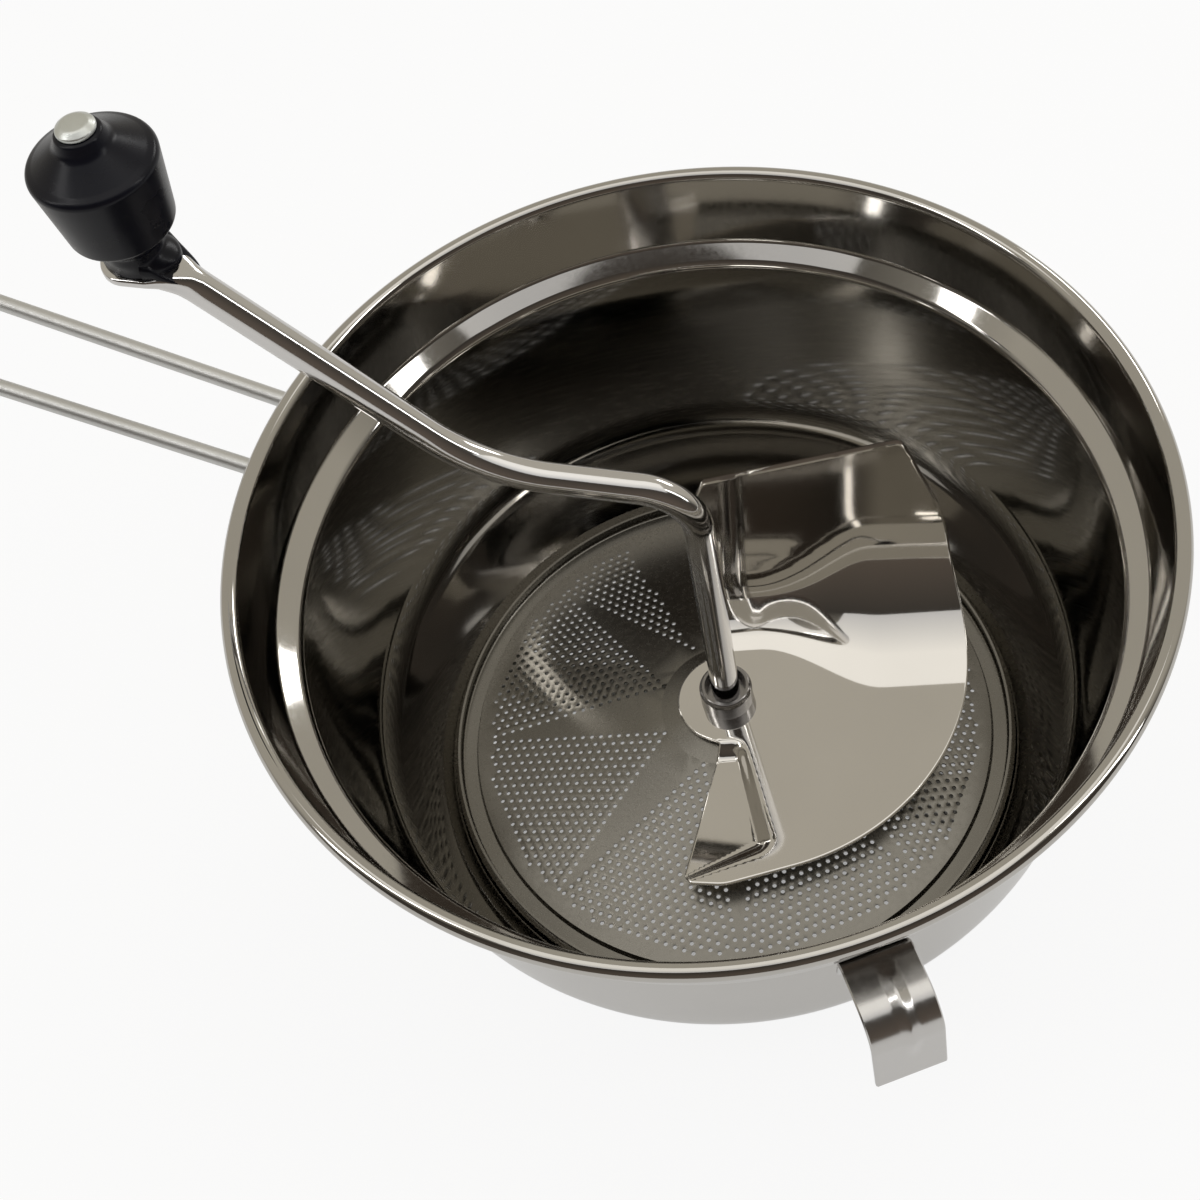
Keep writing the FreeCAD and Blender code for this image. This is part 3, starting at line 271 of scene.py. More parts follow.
# ---------------------------------------------------------------- bowl
GAUGE, BOWL_SIDES = 0.8, 288
BEAD_CIRCLE, BEAD_HEIGHT, BEAD_RADIUS = 103.0, 108.0, 2.0
COLLAR_TOP, COLLAR_FOOT, COLLAR_FOOT_HEIGHT = 101.0, 98.0, 90.0
COLLAR_LEAN = 6  # the collar narrows by one part in six
WALL_TOP, WALL_TOP_HEIGHT, WALL_FOOT, WALL_FOOT_HEIGHT = 93.0, 86.4, 86.4, 33.5
WALL_FOOT_RADIUS = 24.0
LEDGE, LEDGE_HEIGHT, NECK, HEM = 72.0, 12.4, 66.0, 68.8


def collar_radius(height):
    """Inner radius of the collar at a height."""
    return COLLAR_TOP - (BEAD_HEIGHT - height) / COLLAR_LEAN


def make_bowl():
    """One turned sheet from the hem up to the rim, and the rolled bead on it."""
    sheet = outline([
        (COLLAR_TOP, BEAD_HEIGHT),
        (COLLAR_FOOT, COLLAR_FOOT_HEIGHT, 2 * GAUGE),
        (WALL_TOP, WALL_TOP_HEIGHT, 4 * GAUGE),
        (WALL_FOOT, WALL_FOOT_HEIGHT, WALL_FOOT_RADIUS),
        (LEDGE, LEDGE_HEIGHT, 2 * GAUGE),
        (NECK, LEDGE_HEIGHT, GAUGE / 2),
        (NECK, 0),
        (HEM, 0),
        (HEM, GAUGE),
        (NECK + GAUGE, GAUGE),
        (NECK + GAUGE, LEDGE_HEIGHT - GAUGE),
        (LEDGE + GAUGE / 2, LEDGE_HEIGHT - GAUGE, 3 * GAUGE),
        (WALL_FOOT + GAUGE, WALL_FOOT_HEIGHT - GAUGE / 4, WALL_FOOT_RADIUS + GAUGE),
        (WALL_TOP + GAUGE, WALL_TOP_HEIGHT - GAUGE / 2, 3 * GAUGE),
        (COLLAR_FOOT + GAUGE, COLLAR_FOOT_HEIGHT, 3 * GAUGE),
        (COLLAR_TOP + GAUGE, BEAD_HEIGHT),
    ], step=math.radians(4))
    sheet = divided(sheet, 6.0, closed=True)
    bead = [(BEAD_CIRCLE + x, BEAD_HEIGHT + z) for x, z in ring(BEAD_RADIUS, 28)]
    vertices, faces = joined(lathe_mesh(sheet, BOWL_SIDES), lathe_mesh(bead, BOWL_SIDES))
    bowl = piece("bowl_body", vertices, faces, "root", ["bowl"], sharp=50)
    finish(bowl, BOWL_STEEL)


# ---------------------------------------------------------------- sieve
DISC_GAUGE, DISC_SIDES, BOSS_SIDES = 0.6, 180, 72
DISC_RING_HEIGHT = LEDGE_HEIGHT + DISC_GAUGE
LIP, LIP_HEIGHT = 71.2, DISC_RING_HEIGHT + 3.0
CONE_FOOT, CONE_FOOT_HEIGHT = 66.2, DISC_RING_HEIGHT + 1.6
CONE_TOP, CONE_TOP_HEIGHT = 17.0, CONE_FOOT_HEIGHT + 10.9
BOSS, BOSS_HEIGHT, BOSS_BORE = 11.0, CONE_TOP_HEIGHT + 1.5, 3.58
HOLE_PITCH, HOLE_RADIUS, HOLE_SIDES, HOLE_SINK = 2.4, 0.56, 8, 0.14
FIELDS, FIELD_INNER, FIELD_OUTER = 8, 17.8, 63.6
HALF_PLAIN_FIELD, PLAIN_BELOW = 3, math.tan(math.radians(3))
LAND_WIDTH = 0.9
SEAM = 0.002  # keeps the turned rings from being merged with the flat net


def cone_height(radius):
    """Height of the cone's upper face."""
    share = (CONE_FOOT - radius) / (CONE_FOOT - CONE_TOP)
    return CONE_FOOT_HEIGHT + share * (CONE_TOP_HEIGHT - CONE_FOOT_HEIGHT)


def hole_centres():
    """Centres of the holes in their triangular fields, and of the lands between them."""
    row_step = HOLE_PITCH * math.cos(math.radians(30))
    rows = int((FIELD_OUTER - FIELD_INNER) / row_step) + 1
    holes, lands = [], []
    for field in range(FIELDS):
        base = math.radians(360 / FIELDS * field)
        spots = set()
        for row in range(rows):
            for place in range(row + 1):
                x, y = FIELD_INNER + row * row_step, (place - row / 2) * HOLE_PITCH
                blank = field == HALF_PLAIN_FIELD and y < x * PLAIN_BELOW
                if math.hypot(x, y) <= FIELD_OUTER - HOLE_RADIUS and not blank:
                    spots.add((row, place))
        for row, place in spots:
            x, y = FIELD_INNER + row * row_step, (place - row / 2) * HOLE_PITCH
            holes.append((x * math.cos(base) - y * math.sin(base),
                          x * math.sin(base) + y * math.cos(base)))
            around = []
            if (row + 1, place) in spots and (row + 1, place + 1) in spots:
                around.append((x + row_step * 2 / 3, y))
            if (row, place + 1) in spots and (row + 1, place + 1) in spots:
                around.append((x + row_step / 3, y + HOLE_PITCH / 2))
            lands += [(x * math.cos(base) - y * math.sin(base),
                       x * math.sin(base) + y * math.cos(base)) for x, y in around]
    return holes, lands


def make_sieve():
    """Perforated cone: real holes through a sheet, each with a slightly sunk edge."""
    holes, lands = hole_centres()
    spots, edges, sunk = [], [], []
    for x, y in holes:
        start = len(spots)
        turn = math.atan2(y, x)
        for side in range(HOLE_SIDES):
            angle = turn + 2 * math.pi * side / HOLE_SIDES
            spots.append(Vector((x + HOLE_RADIUS * math.cos(angle),
                                 y + HOLE_RADIUS * math.sin(angle))))
            edges.append((start + side, start + (side + 1) % HOLE_SIDES))
    hole_spots = len(spots)
    spots += [Vector(land) for land in lands]
    rings = ((CONE_FOOT, DISC_SIDES), (FIELD_OUTER + LAND_WIDTH, DISC_SIDES),
             (CONE_TOP, BOSS_SIDES))
    for radius, count in rings:
        start = len(spots)
        spots += [Vector((radius * math.cos(2 * math.pi * i / count),
                          radius * math.sin(2 * math.pi * i / count))) for i in range(count)]
        edges += [(start + i, start + (i + 1) % count) for i in range(count)]
    found = geometry.delaunay_2d_cdt(spots, edges, [], 0, 1e-6, True)
    flat, triangles, origin = found[0], found[2], found[3]
    hole_of = [next((o // HOLE_SIDES for o in ids if o < hole_spots), None) for ids in origin]
    kept = []
    for face in triangles:
        names = {hole_of[v] for v in face}
        middle = sum((flat[v] for v in face), Vector((0, 0))) / 3
        inside_hole = len(names) == 1 and None not in names
        if not inside_hole and CONE_TOP * 0.9 < middle.length < CONE_FOOT:
            if all(flat[v].length > CONE_TOP - 0.05 for v in face):
                kept.append(tuple(face))
    slope = math.atan2(CONE_TOP_HEIGHT - CONE_FOOT_HEIGHT, CONE_FOOT - CONE_TOP)
    depth = DISC_GAUGE / math.cos(slope)
    vertices = []
    for point, hole in zip(flat, hole_of):
        sink = HOLE_SINK if hole is not None else 0.0
        vertices.append((point.x, point.y, cone_height(point.length) - sink))
    count = len(vertices)
    vertices += [(x, y, z - depth) for x, y, z in vertices]
    faces = kept + [tuple(count + v for v in reversed(face)) for face in kept]
    used = {}
    for face in kept:
        for a, b in zip(face, face[1:] + face[:1]):
            used[(a, b)] = True
    for (a, b) in used:
        if (b, a) not in used and hole_of[a] is not None and hole_of[a] == hole_of[b]:
            faces.append((b, a, a + count, b + count))
    rim_outline = outline([
        (CONE_FOOT + SEAM, CONE_FOOT_HEIGHT),
        (CONE_FOOT + DISC_GAUGE, DISC_RING_HEIGHT),
        (LIP - DISC_GAUGE, DISC_RING_HEIGHT, DISC_GAUGE),
        (LIP - DISC_GAUGE, LIP_HEIGHT),
        (LIP, LIP_HEIGHT),
        (LIP, LEDGE_HEIGHT, 2 * DISC_GAUGE),
        (CONE_FOOT + SEAM, LEDGE_HEIGHT),
        (CONE_FOOT + SEAM, CONE_FOOT_HEIGHT - depth),
    ])
    boss_outline = outline([
        (BOSS_BORE, BOSS_HEIGHT),
        (BOSS, BOSS_HEIGHT, 1.5),
        (CONE_TOP - SEAM, CONE_TOP_HEIGHT),
        (CONE_TOP - SEAM, CONE_TOP_HEIGHT - depth),
        (BOSS, BOSS_HEIGHT - DISC_GAUGE, 1.5),
        (BOSS_BORE, BOSS_HEIGHT - DISC_GAUGE),
    ])
    vertices, faces = joined((vertices, faces), lathe_mesh(rim_outline, DISC_SIDES),
                             lathe_mesh(boss_outline, BOSS_SIDES))
    sieve = piece("sieve_sheet", vertices, faces, "root", ["sieve_disc"], sharp=40)
    finish(sieve, SIEVE_STEEL)


# ---------------------------------------------------------------- crank
ROD = 3.5
ARM_HEIGHT, TANG_HEIGHT, LAST_BEND = 117.4, 176.2, 101.5
ARM_CORNER = LAST_BEND - (TANG_HEIGHT - ARM_HEIGHT) / math.tan(math.radians(47))
TANG_GAUGE, TANG_WIDTH, TANG_END = 2.4, 12.6, 2.0
FLAT_START, FLAT_RUN = 96.5, 7.0
SHAFT_FOOT, CHAMFER_END = 1.4, 2.4
HUB, HUB_FOOT, HUB_TOP, HUB_RECESS = 6.6, 29.0, 35.6, 32.0


def rounded_box(half_width, half_height, squareness, sides=32):
    """Section that goes from an ellipse (squareness 2) towards a rectangle (8)."""
    points = []
    for i in range(sides):
        turn = 2 * math.pi * i / sides
        c, s = math.cos(turn), math.sin(turn)
        points.append((half_width * math.copysign(abs(c) ** (2 / squareness), c),
                       half_height * math.copysign(abs(s) ** (2 / squareness), s)))
    return points


def make_rod():
    """Rod bent twice, pressed flat and bent level again under the knob."""
    tip = CRANK_REACH + TANG_END
    line = outline([
        (0, SHAFT_FOOT), (0, 3.0), (0, ARM_HEIGHT, 12.0), (ARM_CORNER, ARM_HEIGHT, 35.0),
        (LAST_BEND, TANG_HEIGHT, 4.0), (tip + TANG_WIDTH / 2, TANG_HEIGHT),
    ], closed=False, step=math.radians(3))
    line = divided(line[:-1], 2.0) + divided([line[-2], line[-1]], 0.4)[1:]
    points = [Vector((x, 0, z)) for x, z in line]
    stations = path_stations(points, Vector((0, -1, 0)))
    sections = []
    for x, z in line:
        share = smooth((x - FLAT_START) / FLAT_RUN)
        half_width = ROD + (TANG_WIDTH / 2 - ROD) * share
        half_height = ROD + (TANG_GAUGE / 2 - ROD) * share
        past = x - tip
        if past > 0:
            half_width = math.sqrt(max(0.02, (TANG_WIDTH / 2) ** 2 - past ** 2))
        if z < CHAMFER_END:
            half_width = half_height = ROD - 0.4 * (CHAMFER_END - z)
        sections.append(rounded_box(half_height, half_width, 2 + 2.5 * share))
    vertices, faces = sweep_mesh(stations, sections)
    rod = piece("crank", vertices, faces, "crank", ["crank_rod"],
                place=turned(CRANK_AZIMUTH))
    finish(rod, ROD_STEEL)


def make_hub():
    """Turned collar with a recess around the shaft."""
    profile = outline([
        (ROD, HUB_FOOT), (HUB, HUB_FOOT), (HUB, HUB_TOP, 1.4),
        (5.5, HUB_TOP, 0.4), (4.7, HUB_RECESS), (ROD, HUB_RECESS),
    ])
    vertices, faces = lathe_mesh(profile, 72)
    hub = piece("hub", vertices, faces, "crank", ["hub_collar"])
    finish(hub, HUB_STEEL)


# ---------------------------------------------------------------- blade
BLADE_HEIGHT, BLADE_GAUGE = 29.3, 1.0
BLADE_TURN, BLADE_TILT, TILT_AXIS = 21, -2.55, 2.5 - 21
BORE, BORE_SIDES, LOBE = 3.5, 32, 12.6
EDGE_INSET, SUPPORT_INSET = 0.3, 0.6
ROLL_ANGLE = math.radians(66)
ROLL_START, ROLL_SHIFT = 11.1, 15.3
TOP_EDGE, TOP_HEIGHT = 41.0, 38.5
POCKET_DEPTH, POCKET_START, POCKET_RUN = 2.6, -12.0, 5.0


def blade_frame():
    """Placement of the blade: turned about the shaft, then tilted a little."""
    climb = math.radians(TILT_AXIS)
    axis = Vector((-math.sin(climb), math.cos(climb), 0))
    return (Matrix.Translation(Vector((0, 0, BLADE_HEIGHT)) * MM)
            @ Matrix.Rotation(math.radians(BLADE_TURN), 4, "Z")
            @ Matrix.Rotation(math.radians(BLADE_TILT), 4, axis))


def pocket_depth(x, y):
    """Depth of the three-cornered pocket pressed down beside the leading edge.

    Its wall runs from a ridge down to a foot, along its side and across its end.
    """
    along = across_share(y, -4.3, -37.0)
    ridge = 2.3 + 8.3 * along
    foot = -0.6 + 6.2 * along
    from_side = across_share(x, ridge, foot)
    outwards = across_share(x, -8.4, 8.3)
    end_ridge = -48.9 + 5.0 * outwards
    end_foot = -46.7 + 8.0 * min(outwards, 1.0)
    from_end = across_share(y, end_ridge, max(end_foot, end_ridge + 1.5))
    missing = math.hypot(max(0.0, 1 - from_side), max(0.0, 1 - from_end))
    return POCKET_DEPTH * smooth((POCKET_START - y) / POCKET_RUN) * smooth(1 - missing)


def roll_shape(x):
    """Where the roll starts at x, and its radius: it is tight beside the shaft."""
    start = ROLL_START - ROLL_SHIFT * smooth((x - 8.0) / 31.0)
    reach = TOP_EDGE - start
    rise, turn = math.tan(ROLL_ANGLE), 1 - math.cos(ROLL_ANGLE)
    return start, (reach * rise - TOP_HEIGHT) / (math.sin(ROLL_ANGLE) * rise - turn)


def roll_height(x, y):
    """Height of the upper face over the blade's plan."""
    start, radius = roll_shape(x)
    if y <= start:
        return -pocket_depth(x, y)
    turn = math.asin(min(1.0, (y - start) / radius))
    if turn <= ROLL_ANGLE:
        return radius * (1 - math.cos(turn)) - pocket_depth(x, y)
    beyond = y - start - radius * math.sin(ROLL_ANGLE)
    return radius * (1 - math.cos(ROLL_ANGLE)) + beyond * math.tan(ROLL_ANGLE)


def roll_normal(x, y):
    """Direction square to the upper face."""
    step = 0.02
    along = (roll_height(x + step, y) - roll_height(x - step, y)) / (2 * step)
    across = (roll_height(x, y + step) - roll_height(x, y - step)) / (2 * step)
    return Vector((-along, -across, 1)).normalized()


def blade_plan():
    """Outline of the flattened blade: a straight end, a round sweep and a lobe."""
    points = [
        (-2.2, -13.2, 1.0), (-10.9, -47.0, 1.6), (-9.4, -50.3, 1.6), (-1.0, -51.2, 12.0),
        (69.4, -35, 58.3), (57.3, 34.5, 8), (48.3, 43.3, 4), (-1.5, 40.4, 2.5), (-7.2, 36, 2.5),
    ]
    lobe_points = [(LOBE * math.cos(math.radians(a)), LOBE * math.sin(math.radians(a)))
                   for a in range(105, 250, 5)]
    return outline(points, step=math.radians(2)) + lobe_points


def offset_inwards(points, distance):
    """The same outline, moved inwards."""
    moved = []
    for i, here in enumerate(points):
        along = (points[(i + 1) % len(points)] - points[i - 1]).normalized()
        moved.append(here + Vector((-along.y, along.x)) * distance)
    return moved


def inside(point, edge):
    """Whether a point lies within an outline."""
    within = False
    for p, q in zip(edge, edge[1:] + edge[:1]):
        if (p.y > point.y) != (q.y > point.y):
            if point.x < p.x + (point.y - p.y) / (q.y - p.y) * (q.x - p.x):
                within = not within
    return within


def blade_fill(edge):
    """Points inside the plan: rows along the roll, and a finer net over the pocket."""
    rows = [-14.0 + 1.4 * i for i in range(44)]
    spots = [Vector((1.8 * k, y)) for y in rows for k in range(-6, 36)]
    spots += [Vector((4.0 * k, -50.0 + 4.0 * i)) for i in range(9) for k in range(4, 16)]
    spots += [Vector((-11 + 0.6 * k, -49.8 + 0.6 * i)) for i in range(74) for k in range(42)]
    tight = offset_inwards(edge, 0.45)
    return [p for p in spots if inside(p, tight) and p.length > 4.2]


def make_blade():
    """Sheet between two faces that follow the roll and the pocket, with rounded edges."""
    edge = [Vector(p) for p in divided(blade_plan(), 1.2, closed=True)]
    count = len(edge)
    inner = offset_inwards(edge, EDGE_INSET)
    bore = [Vector(p) for p in ring(BORE + 0.05, BORE_SIDES)]
    support = offset_inwards(edge, SUPPORT_INSET)
    net = inner + bore + support + blade_fill(support)
    around = [(i, (i + 1) % count) for i in range(count)]
    sides = list(around)
    sides += [(count + i, count + (i + 1) % BORE_SIDES) for i in range(BORE_SIDES)]
    sides += [(count + BORE_SIDES + i, count + BORE_SIDES + j) for i, j in around]
    found = geometry.delaunay_2d_cdt(net, sides, [], 0, 1e-6, True)
    flat, triangles, origin = found[0], found[2], found[3]
    kept = []
    for face in triangles:
        middle = sum((flat[v] for v in face), Vector((0, 0))) / 3
        if middle.length > BORE and inside(middle, inner):
            kept.append(tuple(face))
    place_of = {source: v for v, sources in enumerate(origin) for source in sources}

    def sheet_point(spot, depth):
        top = Vector((spot.x, spot.y, roll_height(spot.x, spot.y)))
        return top - roll_normal(spot.x, spot.y) * depth

    total = len(flat)
    vertices = [sheet_point(p, depth) for depth in (0, BLADE_GAUGE) for p in flat]
    faces = kept + [tuple(total + v for v in reversed(face)) for face in kept]
    upper = len(vertices)
    vertices += [sheet_point(p, BLADE_GAUGE * 0.3) for p in edge]
    lower = len(vertices)
    vertices += [sheet_point(p, BLADE_GAUGE * 0.7) for p in edge]
    for i in range(count):
        k = (i + 1) % count
        here, there = place_of[i], place_of[k]
        faces.append((here, upper + i, upper + k, there))
        faces.append((upper + i, lower + i, lower + k, upper + k))
        faces.append((lower + i, total + here, total + there, lower + k))
    for i in range(BORE_SIDES):
        here, there = place_of[count + i], place_of[count + (i + 1) % BORE_SIDES]
        faces.append((there, here, total + here, total + there))
    blade = piece("pressing_blade", vertices, faces, "crank", ["blade"],
                  sharp=50, place=blade_frame())
    finish(blade, BLADE_STEEL)


# ---------------------------------------------------------------- knob
SADDLE_FOOT, SADDLE_TOP = 177.42, 185.72
SADDLE_SIDES, SADDLE_LEVELS = 96, 24
BASE_OUTWARDS, BASE_INWARDS, BASE_LEFT, BASE_RIGHT = 7.4, 8.8, 5.6, 6.6
TONGUE_START, TONGUE_RUN, TONGUE_SINK = 103.0, 8.0, 0.4
ROD_BEND, ROD_SLOPE = 101.3, 1.07
KNOB_BORE, KNOB_FOOT, KNOB_RIM, KNOB_TOP = 2.58, 186.02, 204.22, 210.72
RIVET, RIVET_CAP, RIVET_FOOT, RIVET_SEAT, RIVET_HEAD = 2.5, 3.9, 173.78, 174.98, 211.6


def at_knob():
    """Placement upright on the rivet's axis."""
    return turned(CRANK_AZIMUTH, (CRANK_REACH * math.cos(CRANK_AZIMUTH),
                                  CRANK_REACH * math.sin(CRANK_AZIMUTH), 0))


def make_knob():
    """Waisted grip with a sloping crown, and the rivet that it turns on."""
    profile = outline([
        (KNOB_BORE, KNOB_FOOT), (8.6, KNOB_FOOT, 0.8), (10.7, KNOB_FOOT + 1.8, 1.6),
        (12.85, KNOB_RIM, 1.5), (11.0, KNOB_RIM + 0.9, 3.0), (5.6, KNOB_RIM + 4.6, 3.0),
        (4.6, KNOB_TOP + 0.5, 0.8), (4.0, KNOB_TOP + 0.8, 0.4), (KNOB_BORE, KNOB_TOP + 0.8),
    ])
    vertices, faces = lathe_mesh(divided(profile, 3, closed=True), 96)
    knob = piece("knob", vertices, faces, "knob", ["knob_body"], sharp=50,
                 place=at_knob())
    finish(knob, BLACK_PLASTIC)
    profile = outline([
        (0, RIVET_FOOT), (2.4, RIVET_FOOT, 0.5), (3.0, RIVET_SEAT),
        (RIVET, RIVET_SEAT), (RIVET, RIVET_HEAD), (RIVET_CAP, RIVET_HEAD, 0.3),
        (RIVET_CAP, RIVET_HEAD + 0.8, 0.5), (2.6, RIVET_HEAD + 1.7, 1.4), (0, RIVET_HEAD + 1.9),
    ])
    vertices, faces = lathe_mesh(profile, 64)
    rivet = piece("knob_rivet", vertices, faces, "crank", ["knob_pin"], sharp=50,
                  place=at_knob())
    finish(rivet, RIVET_STEEL)


def saddle_ring(height):
    """Plan of the saddle at a height: a drop over the flat end, then a round neck."""
    up = across_share(height, SADDLE_FOOT, SADDLE_TOP)
    drop = 1 - smooth((up - 0.12) / 0.34)
    neck = 6.0 + 2.0 * smooth((up - 0.62) / 0.38)
    points = []
    for i in range(SADDLE_SIDES):
        turn = 2 * math.pi * i / SADDLE_SIDES
        outwards, sideways = math.cos(turn), math.sin(turn)
        length = BASE_OUTWARDS if outwards > 0 else BASE_INWARDS
        width = BASE_LEFT if sideways > 0 else BASE_RIGHT
        base = 1 / math.hypot(outwards / length, sideways / width)
        reach = neck + (base - neck) * drop
        points.append((CRANK_REACH + reach * outwards, reach * sideways, height))
    return points


def make_saddle():
    """Foot under the knob: a neck on a drop-shaped base, with a tongue down the rod."""
    sides, levels = SADDLE_SIDES, SADDLE_LEVELS
    heights = [SADDLE_FOOT + (SADDLE_TOP - SADDLE_FOOT) * i / levels for i in range(levels + 1)]
    vertices = [Vector(point) for height in heights for point in saddle_ring(height)]
    faces = [tuple(reversed(range(sides))), tuple(range(levels * sides, (levels + 1) * sides))]
    for level in range(levels):
        here, there = level * sides, (level + 1) * sides
        for i in range(sides):
            k = (i + 1) % sides
            faces.append((here + i, here + k, there + k, there + i))
    stations, sections = [], []
    for i in range(levels + 1):
        down = i / levels
        reach = TONGUE_START - TONGUE_RUN * down
        fall = max(0.0, ROD_BEND - reach) * ROD_SLOPE
        rod_top = TANG_HEIGHT + TANG_GAUGE / 2 - fall + 1.7 * smooth((100.0 - reach) / 6)
        thick = 0.8 + 3.0 * (1 - down) ** 1.5
        width = 1.2 + 5.0 * (1 - down) ** 0.5
        stations.append((Vector((reach, -0.3, rod_top - TONGUE_SINK + thick / 2)),
                         Vector((0, 1, 0)), Vector((0, 0, 1))))
        sections.append(rounded_box(width, thick / 2 + TONGUE_SINK, 4, 32))
    vertices, faces = joined((vertices, faces), sweep_mesh(stations, sections))
    saddle = piece("saddle", vertices, faces, "crank", ["knob_saddle"], sharp=60,
                   place=turned(CRANK_AZIMUTH))
    finish(saddle, BLACK_PLASTIC)


# ---------------------------------------------------------------- handle
CLEARANCE = 0.02
HANDLE_RISE, HANDLE_HEIGHT = math.radians(6), 95.0
WIRE, BRACKET_GAUGE, BRACKET_MIDDLE = 2.0, 1.5, 97.0
LOOP_REACH, LOOP_HALF_WIDTH, LOOP_CORNER = 230.0, 12.0, 11.76
END_START, END_HALF_LENGTH = 10.0, 6.5


def make_handle():
    """One wire bent to a long loop, its ends lying along the bracket."""
    lying = collar_radius(BRACKET_MIDDLE) + GAUGE + BRACKET_GAUGE + WIRE + CLEARANCE
    side = END_START + END_HALF_LENGTH
    reach = math.sqrt(lying ** 2 - side ** 2)
    fall = side / reach * END_HALF_LENGTH
    slant = math.cos(HANDLE_RISE)
    half = [
        ((reach - fall) / slant, END_START + 2 * END_HALF_LENGTH),
        ((reach + fall) / slant, END_START, 4.0),
        (LOOP_REACH / slant, LOOP_HALF_WIDTH, LOOP_CORNER),
    ]
    corners = half + [(x, -y, *radius) for x, y, *radius in reversed(half)]
    line = divided(outline(corners, closed=False), 8.0)
    stations = path_stations([Vector((x, y, 0)) for x, y in line], Vector((0, 0, 1)))
    vertices, faces = sweep_mesh(stations, [ring(WIRE, 24)] * len(stations))
    height = HANDLE_HEIGHT - reach * math.tan(HANDLE_RISE)
    place = (Matrix.Translation(Vector((0, 0, height)) * MM)
             @ Matrix.Rotation(math.pi, 4, "Z") @ Matrix.Rotation(-HANDLE_RISE, 4, "Y"))
    wire = piece("handle_loop", vertices, faces, "root", ["handle_wire"],
                 sharp=50, place=place)
    finish(wire, WIRE_STEEL)


# ---------------------------------------------------------------- hooks
HOOK_FOOT, HOOK_TOP, HOOK_TIP = 86.5, 95.0, 74.0
HOOK_BEND_REACH, HOOK_TIP_REACH, HOOK_BEND_RADIUS = 117.2, 119.2, 8
HOOK_GAUGE, HOOK_HALF_WIDTH, HOOK_EASE, HOOK_STEPS = 1.2, 7.6, 0.3, 48
RIB_HEIGHT, RIB_HALF_WIDTH, RIB_SHIFT, RIB_BLUNTNESS = 0.8, 2.1, 0.7, 0.08
RIB_START, RIB_RISE, RIB_END, RIB_FALL = 9.5, 5.0, 7.0, 9.0
REAR_HOOK_SHRINK = 1.9


def rib_rise(across, fade):
    """Height of the rib at a place across the strap: a ridge with a blunt top."""
    slope = math.hypot((across - RIB_SHIFT) / RIB_HALF_WIDTH, RIB_BLUNTNESS)
    return RIB_HEIGHT * fade * max(0.0, 1 + RIB_BLUNTNESS - slope)


def make_hook(name, stands_for, azimuth, shrink):
    """Bent strap with a sharp rib pressed out along it, which fades out at both ends."""
    half_gauge, half_width, ease = HOOK_GAUGE / 2, HOOK_HALF_WIDTH, HOOK_EASE
    top = HOOK_TOP - shrink - half_gauge
    wall = GAUGE + CLEARANCE + half_gauge
    line = divided(outline([
        (collar_radius(HOOK_FOOT) + wall, HOOK_FOOT),
        (collar_radius(HOOK_TOP) + wall, top, 3.0),
        (HOOK_BEND_REACH - shrink - half_gauge, top, HOOK_BEND_RADIUS - half_gauge),
        (HOOK_TIP_REACH - shrink - half_gauge, HOOK_TIP),
    ], closed=False, step=math.radians(4)), 0.8)
    points = [Vector((x, 0, z)) for x, z in line]
    stations = path_stations(points, Vector((0, 1, 0)))
    lengths = [0.0]
    for a, b in zip(points, points[1:]):
        lengths.append(lengths[-1] + (b - a).length)
    total = lengths[-1]
    flat = half_width - ease
    across = [-flat + 2 * flat * i / HOOK_STEPS for i in range(HOOK_STEPS + 1)]
    sections = []
    for length in lengths:
        fade = (smooth((length - RIB_START) / RIB_RISE)
                * smooth((total - RIB_END - length) / RIB_FALL))
        rise = [rib_rise(w, fade) for w in across]
        outer = [(r + half_gauge, w) for r, w in zip(rise, across)]
        inner = [(r - half_gauge, w) for r, w in zip(rise, across)]
        right = [(half_gauge - ease, half_width), (ease - half_gauge, half_width)]
        left = [(ease - half_gauge, -half_width), (half_gauge - ease, -half_width)]
        sections.append(outer + right + inner[::-1] + left)
    vertices, faces = sweep_mesh(stations, sections)
    hook = piece(name, vertices, faces, "root", [stands_for], sharp=40,
                 place=turned(azimuth))
    finish(hook, HOOK_STEEL)


# ---------------------------------------------------------------- spring
SPRING_FOOT, SPRING_TOP, SPRING_RADIUS, SPRING_WIRE = 6.65, 14.7, 5.5, 0.6
SPRING_TURNS, STEPS_PER_TURN = 3, 40


def make_spring():
    """Round wire wound to an open coil."""
    steps = SPRING_TURNS * STEPS_PER_TURN
    points = []
    for i in range(steps + 1):
        turn = 2 * math.pi * i / STEPS_PER_TURN
        climb = (SPRING_TOP - SPRING_FOOT - 2 * SPRING_WIRE) * i / steps
        points.append(Vector((SPRING_RADIUS * math.cos(turn), SPRING_RADIUS * math.sin(turn),
                              SPRING_FOOT + SPRING_WIRE + climb)))
    stations = path_stations(points, Vector((0, 0, 1)))
    vertices, faces = sweep_mesh(stations, [ring(SPRING_WIRE, 12)] * len(stations))
    spring = piece("spring_coil", vertices, faces, "lift", ["pressure_spring"],
                   sharp=50)
    finish(spring, SPRING_STEEL)


make_bowl()
make_sieve()
make_rod()
make_hub()
make_blade()
make_knob()
make_saddle()
make_handle()
make_hook("hook_strap_front", "rest_hook_front", FRONT_HOOK_AZIMUTH, 0.0)
make_hook("hook_strap_rear", "rest_hook_rear", REAR_HOOK_AZIMUTH, REAR_HOOK_SHRINK)
make_spring()
finish(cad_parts["handle_bracket"], WIRE_STEEL)
for name in ("bar_lug_left", "bar_lug_right", "retaining_bar", "spring_cup", "cross_pin"):
    finish(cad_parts[name], SATIN_STEEL)


